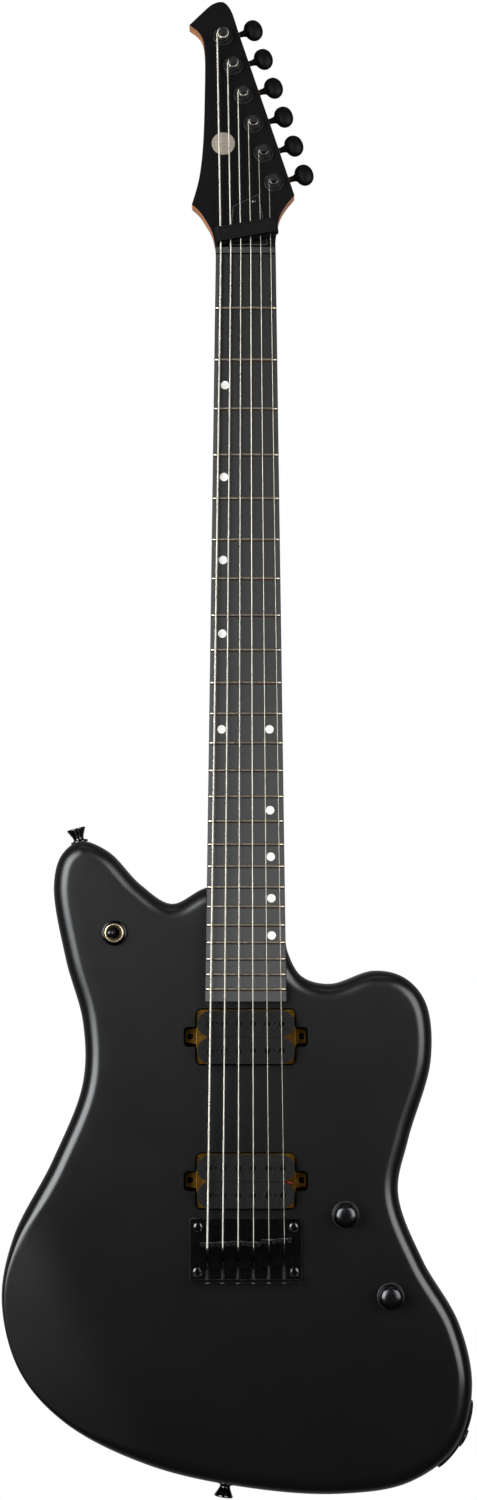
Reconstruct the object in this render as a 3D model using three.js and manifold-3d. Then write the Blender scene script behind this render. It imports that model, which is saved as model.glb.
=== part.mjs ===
// Solid-body electric guitar with a 27 inch scale: offset body, bolt-on neck, tilted six-in-line
// headstock, two humbuckers, a fixed six-saddle bridge, two knobs and a three-way toggle.
// Millimetres. +X is the treble side, +Z runs along the neck to the headstock tip, -Y is the front.
// The origin is where a hanger's yoke takes the neck, in the plane of the body's front face.
import * as THREE from "three";
import { mergeVertices } from "three/addons/utils/BufferGeometryUtils.js";
import Module from "manifold-3d";

// ---------------------------------------------------------------- driving dimensions
const GAP = 0.3; // clearance between touching pieces
const NUT_BELOW_ORIGIN = 16;
const SCALE = 685.8;
const FRETS = 24;
const STRINGS = 6;

const BODY_THICKNESS = 44;
const BODY_MIDDLE = BODY_THICKNESS / 2;
const BODY_ROUND = 11;
const FORE_ARM = { slope: 7, turn: -24, x: -88, z: -804 }; // degrees; a point on its hinge line
const BELLY_SCOOP = { radii: [82, 14, 125], turn: -15, x: -172, z: -594 }; // an ellipsoid
const CAVITY_FRONT = 7; // wood left in front of the control and switch cavities
const COVER_THICKNESS = 2.2;
const COVER_MARGIN = 5; // cover past its cavity
const COVER_SEAT = BODY_THICKNESS - COVER_THICKNESS - GAP;

const BOARD_TOP = -9.6;
const BOARD_THICKNESS = 6;
const BOARD_RADIUS = 305;
const BOARD_END = -522.9;
const HALF_WIDTH_NUT = 21;
const HALF_WIDTH_END = 28.3;
const NECK_FACE = BOARD_TOP + BOARD_THICKNESS;
const HEEL_END = -521;
const HEEL_DEPTH = 19;
const POCKET_MOUTH = -380; // well past the body's rim
const FRET_HEIGHT = 1.1;

const HEAD_TILT = 9; // degrees
const HEAD_THICKNESS = 14.5;
const POST_RADIUS = 3;
const WRAP_HEIGHT = 6.2; // where a string leaves its post
const FIRST_POST = [-16.1, 160.8];
const POST_STEP = [7.18, -21.58];
const SHAFT_ANGLE = Math.atan2(POST_STEP[0], -POST_STEP[1]);

const STRING_DIAMETERS = [1.57, 1.17, 0.91, 0.66, 0.43, 0.33];
const NUT_SPREAD = 35;
const SADDLE_SPREAD = 53.5;
const NUT_CLEARANCE = 1.6; // string above the board at the nut
const SADDLE_STRING_Y = -14.2;
const STRING_HOLE_Z = -701;

const SADDLE_FRONTS = [-689.2, -688.8, -688.2, -688.8, -687, -686.4];
const SADDLE = { length: 20.4, width: 10.2, slotStart: 2.2, slotEnd: 17.2 };
const STRING_DIVE = 4.5; // from a saddle's front to where its string turns down
const KNOBS = { volume: [69.5, -671.3], tone: [100.8, -727.8] };
const SWITCH = [-91.9, -475.3];
const SWITCH_CAVITY_RADIUS = 16;
const SWITCH_LEVER = { pivot: 4, lean: 7 }; // pivot depth, and degrees towards the bass side at rest
const PICKUPS = { neck: -547.7, bridge: -648 };
const ROUT = {
  halfLength: 35.3, halfWidth: 20, earHalfLength: 43.4, earHalfWidth: 7, corner: 4, depth: 24,
};
const BRIDGE = { halfWidth: 38.8, front: -673.6, back: -717.6, thickness: 2.5, flange: 10 };
const JACK_CENTRE = [97.5, -799.5]; // centre of the body's rim curve at the jack
const JACK_RIM = 59.8;
const JACK_ANGLE = -28; // degrees
const JACK_PLATE = { clearance: 0.35, thickness: 1.3, halfHeight: 11, halfAngle: 24.9 };
const JACK_MOUTH = 3.6; // the socket's mouth outside the body's rim

const DAMPER = { v: 14.8, turn: 10.3, left: -21.3, right: 22.4, front: -12.8, back: -3.2, width: 10.4 };

// Where each button stands on its flat seat in the rim, and which way it points.
const STRAP_BUTTONS = {
  upper: { x: -116.8, z: -412.2, way: [-0.26, 0, 0.966] },
  lower: { x: -14, z: -859.2, way: [-0.16, 0, -0.987] },
};
const STRAP_SEAT_RADIUS = 6.4;

// The rim at half thickness, from the bass side of the neck round the horn, [x, z] from the nut.
const BODY_RIM = [
  [-29, -444], [-52, -455], [-74, -441.5], [-97, -418], [-116, -411], [-129, -420.5],
  [-134.5, -442], [-126, -494], [-114, -538], [-114, -580], [-135, -634], [-162.5, -688],
  [-170.5, -732], [-158, -781], [-126, -817], [-67, -846.5], [3, -862], [66, -866],
  [114, -858], [147, -833], [158, -793], [149, -748], [124, -704.5], [106.5, -657],
  [113.5, -620], [129.5, -564], [126, -524], [111, -506.5], [90, -502], [59, -511.3],
  [39.5, -506], [29.5, -489], [25, -465], [9, -447], [-10, -441],
];

const CONTROL_CAVITY = [
  [52, -664], [69, -650], [88, -664], [106, -708], [128, -764],
  [133, -803], [119, -817], [102, -800], [84, -748], [60, -694],
];

const NECK_PLATE = [[-24, -462], [-1, -462], [12, -480], [17, -516], [-24, -516]];
const NECK_SCREWS = [[-17, -469], [-4, -469], [9, -508], [-17, -508]];
const NECK_SCREW_DRILL = 2.3;
const STRING_DRILL = 1.7;
const FERRULE_BLOCK = { halfLength: 31.7, halfWidth: 4.7, corner: 4.6, depth: 5.7 };

// ---------------------------------------------------------------- geometry helpers
const wasm = await Module();
wasm.setup();

function solidOf(geometry) {
  const bare = new THREE.BufferGeometry();
  bare.setAttribute("position", geometry.getAttribute("position"));
  if (geometry.index) bare.setIndex(geometry.index);
  const merged = mergeVertices(bare, 1e-4);
  return new wasm.Manifold(
    new wasm.Mesh({
      numProp: 3,
      vertProperties: merged.attributes.position.array,
      triVerts: new Uint32Array(merged.index.array),
    }),
  );
}

function geometryOf(solid) {
  const mesh = solid.getMesh();
  const geometry = new THREE.BufferGeometry();
  geometry.setAttribute("position", new THREE.BufferAttribute(mesh.vertProperties, 3));
  geometry.setIndex(new THREE.BufferAttribute(mesh.triVerts, 1));
  return geometry;
}

function join(...geometries) {
  return geometryOf(geometries.map(solidOf).reduce((all, one) => all.add(one)));
}

function cut(geometry, ...tools) {
  return geometryOf(tools.map(solidOf).reduce((all, one) => all.subtract(one), solidOf(geometry)));
}

// A flat piece drawn in X and Z, standing from the plane y = front to the plane y = back.
function slab(shape, front, back, curveSegments = 8) {
  const geometry = new THREE.ExtrudeGeometry(shape, {
    depth: back - front,
    bevelEnabled: false,
    curveSegments,
  });
  return geometry.rotateX(Math.PI / 2).translate(0, back, 0);
}

function box(x0, x1, y0, y1, z0, z1) {
  return new THREE.BoxGeometry(x1 - x0, y1 - y0, z1 - z0).translate(
    (x0 + x1) / 2, (y0 + y1) / 2, (z0 + z1) / 2,
  );
}

// A solid of revolution about the Y axis. The profile is [radius, y] and closes on the axis or on itself.
function turned(profile, segments = 16) {
  const points = profile.map(([r, y]) => new THREE.Vector2(r, y));
  const area = THREE.ShapeUtils.area(points);
  if (area < 0) points.reverse();
  const first = points[0];
  const last = points[points.length - 1];
  if (first.x > 0 || last.x > 0) points.push(first.clone());
  return new THREE.LatheGeometry(points, segments);
}

function cylinderY(radius, front, back, x = 0, z = 0, segments = 14) {
  return new THREE.CylinderGeometry(radius, radius, back - front, segments).translate(
    x, (front + back) / 2, z,
  );
}

function cylinderX(radius, x0, x1, y, z, segments = 12) {
  return new THREE.CylinderGeometry(radius, radius, x1 - x0, segments)
    .rotateZ(Math.PI / 2)
    .translate((x0 + x1) / 2, y, z);
}

// Rings of the same number of points, joined into one closed skin.
function loft(rings) {
  const count = rings[0].length;
  const position = rings.flat().flatMap((p) => [p.x, p.y, p.z]);
  const index = [];
  for (let i = 0; i + 1 < rings.length; i++)
    for (let j = 0; j < count; j++) {
      const a = i * count + j;
      const b = i * count + ((j + 1) % count);
      index.push(a, b, b + count, a, b + count, a + count);
    }
  const last = (rings.length - 1) * count;
  for (let j = 1; j + 1 < count; j++) {
    index.push(0, j + 1, j);
    index.push(last, last + j, last + j + 1);
  }
  const geometry = new THREE.BufferGeometry();
  geometry.setAttribute("position", new THREE.Float32BufferAttribute(position, 3));
  geometry.setIndex(index);
  if (solidOf(geometry).volume() < 0) {
    for (let i = 0; i < index.length; i += 3) [index[i], index[i + 1]] = [index[i + 1], index[i]];
    geometry.setIndex(index);
  }
  return geometry;
}

// Straight runs between points, with one ring of an extruded section at each point.
class CornerPath extends THREE.Curve {
  constructor(points) {
    super();
    this.points = points;
  }

  getPointAt(u) {
    return this.points[Math.round(u * (this.points.length - 1))].clone();
  }

  getTangentAt(u) {
    const i = Math.round(u * (this.points.length - 1));
    const before = this.points[Math.max(i - 1, 0)];
    const after = this.points[Math.min(i + 1, this.points.length - 1)];
    return after.clone().sub(before).normalize();
  }
}

function wire(points, radius, sides = 8) {
  const section = new THREE.Shape(Array.from({ length: sides }, (_, j) => {
    const turn = (j / sides) * 2 * Math.PI;
    return new THREE.Vector2(radius * Math.cos(turn), radius * Math.sin(turn));
  }));
  return new THREE.ExtrudeGeometry(section, {
    steps: points.length - 1,
    extrudePath: new CornerPath(points),
  });
}

function smoothLoop(points, count) {
  const curve = new THREE.CatmullRomCurve3(
    points.map(([x, z]) => new THREE.Vector3(x, z, 0)), true, "centripetal",
  );
  return curve.getSpacedPoints(count).slice(0, count).map((p) => new THREE.Vector2(p.x, p.y));
}

// The loop moved outwards by a distance along its own normals.
function grown(loop, distance) {
  const sign = THREE.ShapeUtils.area(loop) > 0 ? 1 : -1;
  return loop.map((p, i) => {
    const before = loop[(i + loop.length - 1) % loop.length];
    const after = loop[(i + 1) % loop.length];
    const along = after.clone().sub(before).normalize();
    return new THREE.Vector2(p.x + along.y * distance * sign, p.y - along.x * distance * sign);
  });
}

// A polygon with its corners rounded.
function roundedPolygon(corners, radius) {
  const shape = new THREE.Shape();
  corners.forEach((corner, i) => {
    const here = new THREE.Vector2(...corner);
    const before = new THREE.Vector2(...corners[(i + corners.length - 1) % corners.length]);
    const after = new THREE.Vector2(...corners[(i + 1) % corners.length]);
    const start = here.clone().add(before.sub(here).setLength(radius));
    const end = here.clone().add(after.sub(here).setLength(radius));
    if (i === 0) shape.moveTo(start.x, start.y);
    else shape.lineTo(start.x, start.y);
    shape.quadraticCurveTo(here.x, here.y, end.x, end.y);
  });
  shape.closePath();
  return shape;
}

function roundedBox(halfWidth, z0, z1, radius) {
  return roundedPolygon(
    [[-halfWidth, z0], [halfWidth, z0], [halfWidth, z1], [-halfWidth, z1]], radius,
  );
}

const smooth = (a, b, x) => THREE.MathUtils.smoothstep(x, a, b);
const mix = THREE.MathUtils.lerp;

// The value at v of a line drawn through [v, value] pairs.
function along(table, v) {
  const next = table.findIndex(([at]) => at >= v);
  if (next <= 0) return next === 0 ? table[0][1] : table[table.length - 1][1];
  const [v0, a] = table[next - 1];
  const [v1, b] = table[next];
  return mix(a, b, (v - v0) / (v1 - v0));
}

function toRadians(degrees) {
  return THREE.MathUtils.degToRad(degrees);
}

// ---------------------------------------------------------------- shared positions
const fretZ = (n) => -SCALE * (1 - 2 ** (-n / 12));
const boardHalfWidth = (z) => mix(HALF_WIDTH_NUT, HALF_WIDTH_END, Math.min(z / BOARD_END, 1));
const crown = (x) => (x * x) / (2 * BOARD_RADIUS);
const spread = (k, total) => (k / (STRINGS - 1) - 0.5) * total;
const post = (k) => [FIRST_POST[0] + k * POST_STEP[0], FIRST_POST[1] + k * POST_STEP[1]];
const tilt = toRadians(HEAD_TILT);

// A point of the headstock: u across, v along its face from the nut, h in front of the face.
function headPoint(u, v, h) {
  return new THREE.Vector3(
    u,
    NECK_FACE + v * Math.sin(tilt) - h * Math.cos(tilt),
    v * Math.cos(tilt) + h * Math.sin(tilt),
  );
}

// ---------------------------------------------------------------- colours
function finish(color, roughness, metalness = 0) {
  return new THREE.MeshStandardMaterial({ color, roughness, metalness });
}
const SATIN_BLACK = finish(0x1c1c1e, 0.45);
const WOOD = finish(0xb26f3f, 0.55);
const EBONY = finish(0x242322, 0.5);
const BLACK_METAL = finish(0x101011, 0.25, 0.8);
const BLACK_PLASTIC = finish(0x141414, 0.4);
const STEEL = finish(0xcfcac0, 0.3, 1);
const BRASS = finish(0xb08530, 0.35, 1);
const NUT_GREY = finish(0x38383a, 0.6);
const RUBBER = finish(0x1d1d1f, 0.75);

// ---------------------------------------------------------------- body
const JACK_NORMAL = new THREE.Vector3(Math.cos(toRadians(JACK_ANGLE)), 0, Math.sin(toRadians(JACK_ANGLE)));

// A piece made about the Y axis, front towards -Y, turned so that its front faces the direction.
function facing(geometry, direction, x, y, z) {
  const turn = new THREE.Quaternion().setFromUnitVectors(new THREE.Vector3(0, -1, 0), direction);
  return geometry.applyQuaternion(turn).translate(x, y, z);
}

// The same piece turned to face outwards from the rim at the jack, a distance outside the rim.
function atJack(geometry, outside) {
  const reach = JACK_RIM + outside;
  return facing(
    geometry, JACK_NORMAL,
    JACK_CENTRE[0] + reach * JACK_NORMAL.x, BODY_MIDDLE, JACK_CENTRE[1] + reach * JACK_NORMAL.z,
  );
}

function atStrapButton(geometry, { x, z, way }) {
  return facing(geometry, new THREE.Vector3(...way), x, BODY_MIDDLE, z);
}

function pickupRout(z) {
  const { halfLength, halfWidth, earHalfLength, earHalfWidth, corner, depth } = ROUT;
  return join(
    slab(roundedBox(halfLength, z - halfWidth, z + halfWidth, corner), -1, depth, 3),
    slab(roundedBox(earHalfLength, z - earHalfWidth, z + earHalfWidth, corner), -1, depth, 3),
  );
}

function stringDrills(front, back) {
  return Array.from({ length: STRINGS }, (_, k) =>
    cylinderY(STRING_DRILL, front, back, spread(k, SADDLE_SPREAD), STRING_HOLE_Z, 8));
}

function neckScrewDrills(front, back, segments = 8) {
  return NECK_SCREWS.map(([x, z]) => cylinderY(NECK_SCREW_DRILL, front, back, x, z, segments));
}

function bodyGeometry() {
  const rim = new THREE.Shape(smoothLoop(BODY_RIM, 76));
  let body = new THREE.ExtrudeGeometry(rim, {
    depth: BODY_THICKNESS - 2 * BODY_ROUND,
    bevelThickness: BODY_ROUND,
    bevelSize: BODY_ROUND,
    bevelOffset: -BODY_ROUND,
    bevelSegments: 3,
  });
  body = body.rotateX(Math.PI / 2).translate(0, BODY_THICKNESS - BODY_ROUND, 0);

  const armBevel = box(-250, 0, -60, 0, -220, 220)
    .rotateZ(toRadians(-FORE_ARM.slope))
    .rotateY(toRadians(FORE_ARM.turn))
    .translate(FORE_ARM.x, 0, FORE_ARM.z);
  const bellyScoop = new THREE.SphereGeometry(1, 28, 20)
    .scale(...BELLY_SCOOP.radii)
    .rotateY(toRadians(BELLY_SCOOP.turn))
    .translate(BELLY_SCOOP.x, BODY_THICKNESS + 2, BELLY_SCOOP.z);

  const neckPocket = slab(
    roundedBox(HALF_WIDTH_END + 0.4, HEEL_END - 0.4, POCKET_MOUTH, 1),
    -2, NECK_FACE + HEEL_DEPTH + GAP, 2,
  );
  const controls = smoothLoop(CONTROL_CAVITY, 24);
  const cavity = slab(new THREE.Shape(controls), CAVITY_FRONT, BODY_THICKNESS + 1);
  const coverOutline = new THREE.Shape(grown(controls, COVER_MARGIN + GAP));
  const { halfLength, halfWidth, corner, depth } = FERRULE_BLOCK;
  const ferrulePocket = roundedBox(
    halfLength + GAP, STRING_HOLE_Z - halfWidth - GAP, STRING_HOLE_Z + halfWidth + GAP, corner + GAP,
  );
  return cut(
    body, armBevel, bellyScoop, neckPocket, pickupRout(PICKUPS.neck), pickupRout(PICKUPS.bridge),
    cavity,
    slab(coverOutline, COVER_SEAT, BODY_THICKNESS + 1),
    atJack(cylinderY(10, -4, 34), 0),
    ...Object.values(STRAP_BUTTONS).map(button => atStrapButton(cylinderY(STRAP_SEAT_RADIUS, -12, GAP), button)),
    ...Object.values(KNOBS).map(([x, z]) => cylinderY(5, -1, CAVITY_FRONT + 1, x, z)),
    cylinderY(SWITCH_CAVITY_RADIUS, CAVITY_FRONT, BODY_THICKNESS + 1, ...SWITCH, 20),
    cylinderY(SWITCH_CAVITY_RADIUS + 4.5, COVER_SEAT, BODY_THICKNESS + 1, ...SWITCH, 24),
    cylinderY(6.4, -1, CAVITY_FRONT + 1, ...SWITCH),
    ...stringDrills(-1, 40),
    ...neckScrewDrills(12, BODY_THICKNESS + 1),
    slab(ferrulePocket, BODY_THICKNESS - depth - GAP, BODY_THICKNESS + 1, 3),
  );
}

function neckPlateGeometry() {
  const plate = slab(roundedPolygon(NECK_PLATE, 5), BODY_THICKNESS + GAP, BODY_THICKNESS + 2.3, 3);
  return cut(plate, ...neckScrewDrills(BODY_THICKNESS - 1, BODY_THICKNESS + 4, 12));
}

function neckScrewGeometry() {
  return turned([[0, 3.5], [1.8, 3.5], [1.8, 46.6], [4.2, 46.6], [4, 48.3], [0, 48.9]], 12);
}

// ---------------------------------------------------------------- neck
const HEAD_BASS_EDGE = [
  [0, -21], [8.5, -21.9], [17, -24], [24.6, -28.1], [31.7, -32.8], [36.6, -38], [45.8, -35.3],
  [54.7, -33.1], [68, -31.2], [85, -29.9], [112, -29.1], [148, -29], [157.6, -30.2],
  [162.6, -32.3], [166.8, -36.3], [169.5, -40.1], [179.3, -30.3], [183.8, -25.5], [187, -18.6],
];
const HEAD_TREBLE_EDGE = [
  [0, 21], [13.4, 21.1], [28, 24], [33, 26.4], [38, 29.8], [43.6, 34.3], [165.8, -5.5],
  [174.8, -8.2], [179.3, -9.8], [183.6, -12.2], [186.4, -15], [187, -16.4],
];
const NECK_DEPTH = [
  [-521, 19], [-452, 19], [-428, 16.8], [-20, 14.3], [-8, 15.4], [4, 16.8], [14, 16.4],
  [28, 14.5], [187, 14.5],
];
const NECK_STATIONS = [
  -521, -452, -440, -428, -320, -200, -90, -20, -8, 4, 10, 17, 24.6, 28, 31.7, 36.6, 38, 43.6,
  54.7, 68, 85, 112, 148, 157.6, 162.6, 166.8, 169.5, 174.8, 179.3, 183.8, 186.4, 187,
];

// The back follows a superellipse: a low power is a round shaft, a high one a square heel or head.
function neckPower(v) {
  const shaft = 2.4;
  const square = 12;
  const toHeel = 1 - smooth(-452, -428, v);
  const toHead = smooth(-15, 30, v);
  return mix(shaft, square, Math.max(toHeel, toHead));
}

function neckRing(v, segments) {
  const left = v < 0 ? -boardHalfWidth(v) : along(HEAD_BASS_EDGE, v);
  const right = v < 0 ? boardHalfWidth(v) : along(HEAD_TREBLE_EDGE, v);
  const middle = (left + right) / 2;
  const half = (right - left) / 2;
  const depth = along(NECK_DEPTH, v);
  const lean = tilt * smooth(-12, 12, v);
  const face = v < 0 ? new THREE.Vector3(0, NECK_FACE, v) : headPoint(0, v, 0);
  const power = 2 / neckPower(v);
  return Array.from({ length: segments + 1 }, (_, i) => {
    const turn = (i / segments) * Math.PI;
    const x = middle - half * Math.sign(Math.cos(turn)) * Math.abs(Math.cos(turn)) ** power;
    const d = depth * Math.abs(Math.sin(turn)) ** power;
    return new THREE.Vector3(x, face.y + d * Math.cos(lean), face.z - d * Math.sin(lean));
  });
}

function neckGeometry() {
  const blank = loft(NECK_STATIONS.map((v) => neckRing(v, 12)));
  const holes = Array.from({ length: STRINGS }, (_, k) => {
    const [u, v] = post(k);
    return cylinderY(5, -2, HEAD_THICKNESS + 3, u, v, 12).rotateX(-tilt).translate(0, NECK_FACE, 0);
  });
  const channel = box(-3.2, 3.2, NECK_FACE - 2, NECK_FACE + 9.4, -440, 30);
  return cut(blank, ...holes, channel, ...neckScrewDrills(3, 30));
}

function fretboardGeometry() {
  const ring = (z) => {
    const half = boardHalfWidth(z);
    const top = Array.from({ length: 5 }, (_, i) => {
      const x = half * (1 - i / 2);
      return new THREE.Vector3(x, BOARD_TOP + crown(x), z);
    });
    return [
      new THREE.Vector3(-half, NECK_FACE - GAP, z), new THREE.Vector3(half, NECK_FACE - GAP, z),
      ...top,
    ];
  };
  const blank = loft([ring(-GAP), ring(BOARD_END)]);
  const frets = Array.from({ length: FRETS }, (_, n) => {
    const z = fretZ(n + 1);
    const half = boardHalfWidth(z) - 0.4;
    return loft(Array.from({ length: 5 }, (_, i) => {
      const x = half * (i / 2 - 1);
      const y = BOARD_TOP + crown(x);
      const drop = i === 0 || i === 4 ? 0.4 : 0;
      return [
        new THREE.Vector3(x, y + 0.4, z - 1.2), new THREE.Vector3(x, y + 0.4, z + 1.2),
        new THREE.Vector3(x, y - FRET_HEIGHT + drop, z + 0.6),
        new THREE.Vector3(x, y - FRET_HEIGHT + drop, z - 0.6),
      ];
    }));
  });
  return join(blank, ...frets);
}

function nutGeometry() {
  const half = HALF_WIDTH_NUT - 0.1;
  const outline = new THREE.Shape();
  const foot = NECK_FACE - GAP;
  outline.moveTo(-half, foot);
  outline.lineTo(half, foot);
  for (let i = 0; i <= 8; i++) {
    const x = half * (1 - i / 4);
    outline.lineTo(x, BOARD_TOP + crown(x) - NUT_CLEARANCE + GAP);
  }
  outline.closePath();
  return new THREE.ExtrudeGeometry(outline, { depth: 4.2, bevelEnabled: false });
}

// ---------------------------------------------------------------- strings
function stringRoute(k) {
  const radius = STRING_DIAMETERS[k] / 2;
  const [u, v] = post(k);
  const atNut = spread(k, NUT_SPREAD);
  const atSaddle = spread(k, SADDLE_SPREAD);
  const nutY = BOARD_TOP + crown(atNut) - NUT_CLEARANCE - radius;
  const saddleY = SADDLE_STRING_Y + crown(atSaddle) - radius;
  const dive = SADDLE_FRONTS[k] - STRING_DIVE;
  return [
    headPoint(u - POST_RADIUS - GAP - radius, v, WRAP_HEIGHT),
    new THREE.Vector3(atNut, nutY, 3.6),
    new THREE.Vector3(atNut, nutY, 0.4),
    new THREE.Vector3(atSaddle, saddleY, dive + 0.5),
    new THREE.Vector3(atSaddle, saddleY + 0.6, dive - 0.8),
    new THREE.Vector3(atSaddle, -3.5, STRING_HOLE_Z + 0.8),
    new THREE.Vector3(atSaddle, 0, STRING_HOLE_Z),
    new THREE.Vector3(atSaddle, 40.5, STRING_HOLE_Z),
  ];
}

// ---------------------------------------------------------------- tuners (post about Y, shaft along X)
const WORM_OFFSET = 4.6;
const WORM_DEPTH = 20;
const BUTTON_CENTRE = 24;

function tunerHousingGeometry() {
  const back = HEAD_THICKNESS + 11;
  const casing = slab(
    roundedPolygon([[-7, -7], [8.5, -7], [8.5, 9], [-7, 9]], 3), HEAD_THICKNESS + GAP, back, 3,
  );
  const barrel = cylinderY(4.6, -2.6, HEAD_THICKNESS + 1);
  const washer = cylinderY(7, -1.2, -GAP, 0, 0, 16);
  const hexNut = cylinderY(5.6, -3.4, -1, 0, 0, 6);
  return cut(
    join(casing, barrel, washer, hexNut),
    cylinderY(POST_RADIUS + GAP, -5, back - 2.4),
    cylinderX(1.9, -5.6, 12, WORM_DEPTH, WORM_OFFSET, 10),
  );
}

function tunerButtonGeometry() {
  const shaft = cylinderX(1.5, -5, 12, WORM_DEPTH, WORM_OFFSET, 10);
  const stem = new THREE.LatheGeometry(
    [[0, 9.2], [3, 9.2], [3, 11], [2.2, 13], [2.4, 16.5], [4, 19.5], [0, 19.5]]
      .map(([r, y]) => new THREE.Vector2(r, y)), 12,
  ).rotateZ(-Math.PI / 2).translate(0, WORM_DEPTH, WORM_OFFSET);
  const grip = new THREE.SphereGeometry(1, 10, 7)
    .scale(6.2, 3.8, 7.6)
    .translate(BUTTON_CENTRE, WORM_DEPTH, WORM_OFFSET);
  return join(shaft, stem, grip);
}

function tunerPostGeometry() {
  return turned([
    [0, HEAD_THICKNESS + 8], [2.8, HEAD_THICKNESS + 8], [2.8, HEAD_THICKNESS + 2], [POST_RADIUS, 14],
    [POST_RADIUS, -4.6], [2.6, -5.2], [2.6, -8.2], [POST_RADIUS, -8.8], [POST_RADIUS, -11.4],
    [2.4, -12], [0, -12],
  ], 12);
}

// ---------------------------------------------------------------- pickups (centred on their own z = 0)
const COIL_ROW = 9.15;

function pickupBaseGeometry() {
  const plate = slab(roundedBox(34.6, -19, 19, 3), 3.2, 4.4, 3);
  const legs = [-1, 1].map((side) => box(
    side > 0 ? 33 : -34.6, side > 0 ? 34.6 : -33, 3.4, 11.2, -6, 6,
  ));
  const ears = [-1, 1].map((side) => box(
    side > 0 ? 33 : -42, side > 0 ? 42 : -33, 10, 11.2, -6, 6,
  ));
  return join(plate, ...legs, ...ears);
}

function bobbinShape(z, halfWidth) {
  const half = 33.8;
  const shape = new THREE.Shape();
  shape.absarc(half - halfWidth, z, halfWidth, -Math.PI / 2, Math.PI / 2);
  shape.absarc(-half + halfWidth, z, halfWidth, Math.PI / 2, 1.5 * Math.PI);
  return shape;
}

// Two bobbins on one spacer bar: the top flanges carry the pole rows.
function pickupBobbinsGeometry() {
  const parts = [-1, 1].flatMap((side) => [
    slab(bobbinShape(side * COIL_ROW * 1.02, 9.1), -8.5, -6.4, 6),
    slab(bobbinShape(side * COIL_ROW, 8.2), -6.6, 2.4, 4),
  ]);
  return join(...parts, box(-25, 25, 0, 2.9, -12, 12));
}

// ---------------------------------------------------------------- bridge
function bridgePlateGeometry() {
  const { halfWidth, front, back, thickness, flange } = BRIDGE;
  const plate = slab(roundedBox(halfWidth, back, front, 2), -thickness - GAP, -GAP, 2);
  const lip = slab(roundedBox(halfWidth, back, back + 2.5, 1), -flange, -thickness, 2);
  return cut(join(plate, lip), ...stringDrills(-5, 5));
}

// The saddle's front is at z = 0 and its crest carries the string.
function saddleGeometry(k) {
  const crest = SADDLE_STRING_Y + crown(spread(k, SADDLE_SPREAD)) + GAP;
  const floor = -BRIDGE.thickness - 2 * GAP;
  const side = new THREE.Shape();
  side.moveTo(0, floor);
  side.lineTo(0, crest + 2);
  side.quadraticCurveTo(0, crest, -1.2, crest);
  side.lineTo(-4, crest + 0.8);
  side.lineTo(-SADDLE.length, crest + 4);
  side.lineTo(-SADDLE.length, floor);
  side.closePath();
  const block = new THREE.ExtrudeGeometry(side, { depth: SADDLE.width, bevelEnabled: false, curveSegments: 3 })
    .translate(0, 0, -SADDLE.width / 2)
    .rotateY(-Math.PI / 2);
  const stringSlot = box(-1.6, 1.6, crest - 5, floor + 5, -SADDLE.slotEnd, -SADDLE.slotStart);
  return cut(block, stringSlot);
}

function ferruleBlockGeometry() {
  const { halfLength, halfWidth, corner, depth } = FERRULE_BLOCK;
  const outline = roundedBox(halfLength, STRING_HOLE_Z - halfWidth, STRING_HOLE_Z + halfWidth, corner);
  return cut(
    slab(outline, BODY_THICKNESS - depth, BODY_THICKNESS, 3),
    ...stringDrills(BODY_MIDDLE, BODY_THICKNESS + 6),
  );
}

// ---------------------------------------------------------------- controls
function knobGeometry() {
  return turned([
    [0, -16.4], [3.2, -16.25], [6, -15.6], [7.6, -14.5], [8.4, -12.8], [8.7, -2.6], [9.3, -2], [9.3, -0.7],
    [7.2, -0.7], [7.2, -4.8], [3, -4.8], [3, 16], [0, 16],
  ], 18);
}

function potGeometry() {
  return turned([
    [3.3, -3.6], [4.6, -3.6], [4.6, -2.7], [6, -2.7], [6, -GAP], [4.6, -GAP], [4.6, 9.5], [12, 9.5],
    [12, 20], [0, 20], [0, 16.5], [3.3, 16.5],
  ], 14);
}

function switchBodyGeometry() {
  return turned([
    [4.9, -4.2], [6.8, -4.2], [6.8, -3], [8.4, -3], [8.7, -2.4], [8.7, -GAP], [6, -GAP], [6, 9], [11, 9],
    [11, 30], [0, 30], [0, 17], [4.9, 17],
  ], 16);
}
function switchLeverGeometry() {
  const lever = turned([
    [0, 14], [1.6, 14], [1.6, -10.2], [2.3, -10.9], [3.1, -12.4], [3.1, -13.8], [2.2, -15.6], [0, -16.2],
  ], 14);
  const { pivot, lean } = SWITCH_LEVER;
  return lever.translate(0, -pivot, 0).rotateZ(toRadians(-lean)).translate(0, pivot, 0);
}

// ---------------------------------------------------------------- jack
function jackPlateGeometry() {
  const { clearance, thickness, halfHeight, halfAngle } = JACK_PLATE;
  const inner = JACK_RIM + clearance;
  const [start, end] = [toRadians(JACK_ANGLE - halfAngle), toRadians(JACK_ANGLE + halfAngle)];
  const arc = new THREE.Shape();
  arc.absarc(...JACK_CENTRE, inner + thickness, start, end);
  arc.absarc(...JACK_CENTRE, inner, end, start, true);
  const plate = slab(arc, BODY_MIDDLE - halfHeight, BODY_MIDDLE + halfHeight, 14);
  return cut(plate, atJack(cylinderY(5.1, -8, 8), clearance + thickness));
}

// The socket's mouth is at y = 0 and it runs inwards to +Y.
function jackSocketGeometry() {
  return turned([
    [3.6, 0], [4.7, 0], [4.7, 0.4], [6.2, 0.4], [6.2, 1.6], [4.7, 1.6], [4.7, 9], [8.6, 9], [8.6, 30],
    [0, 30], [0, 26], [3.6, 26],
  ], 18);
}

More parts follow.
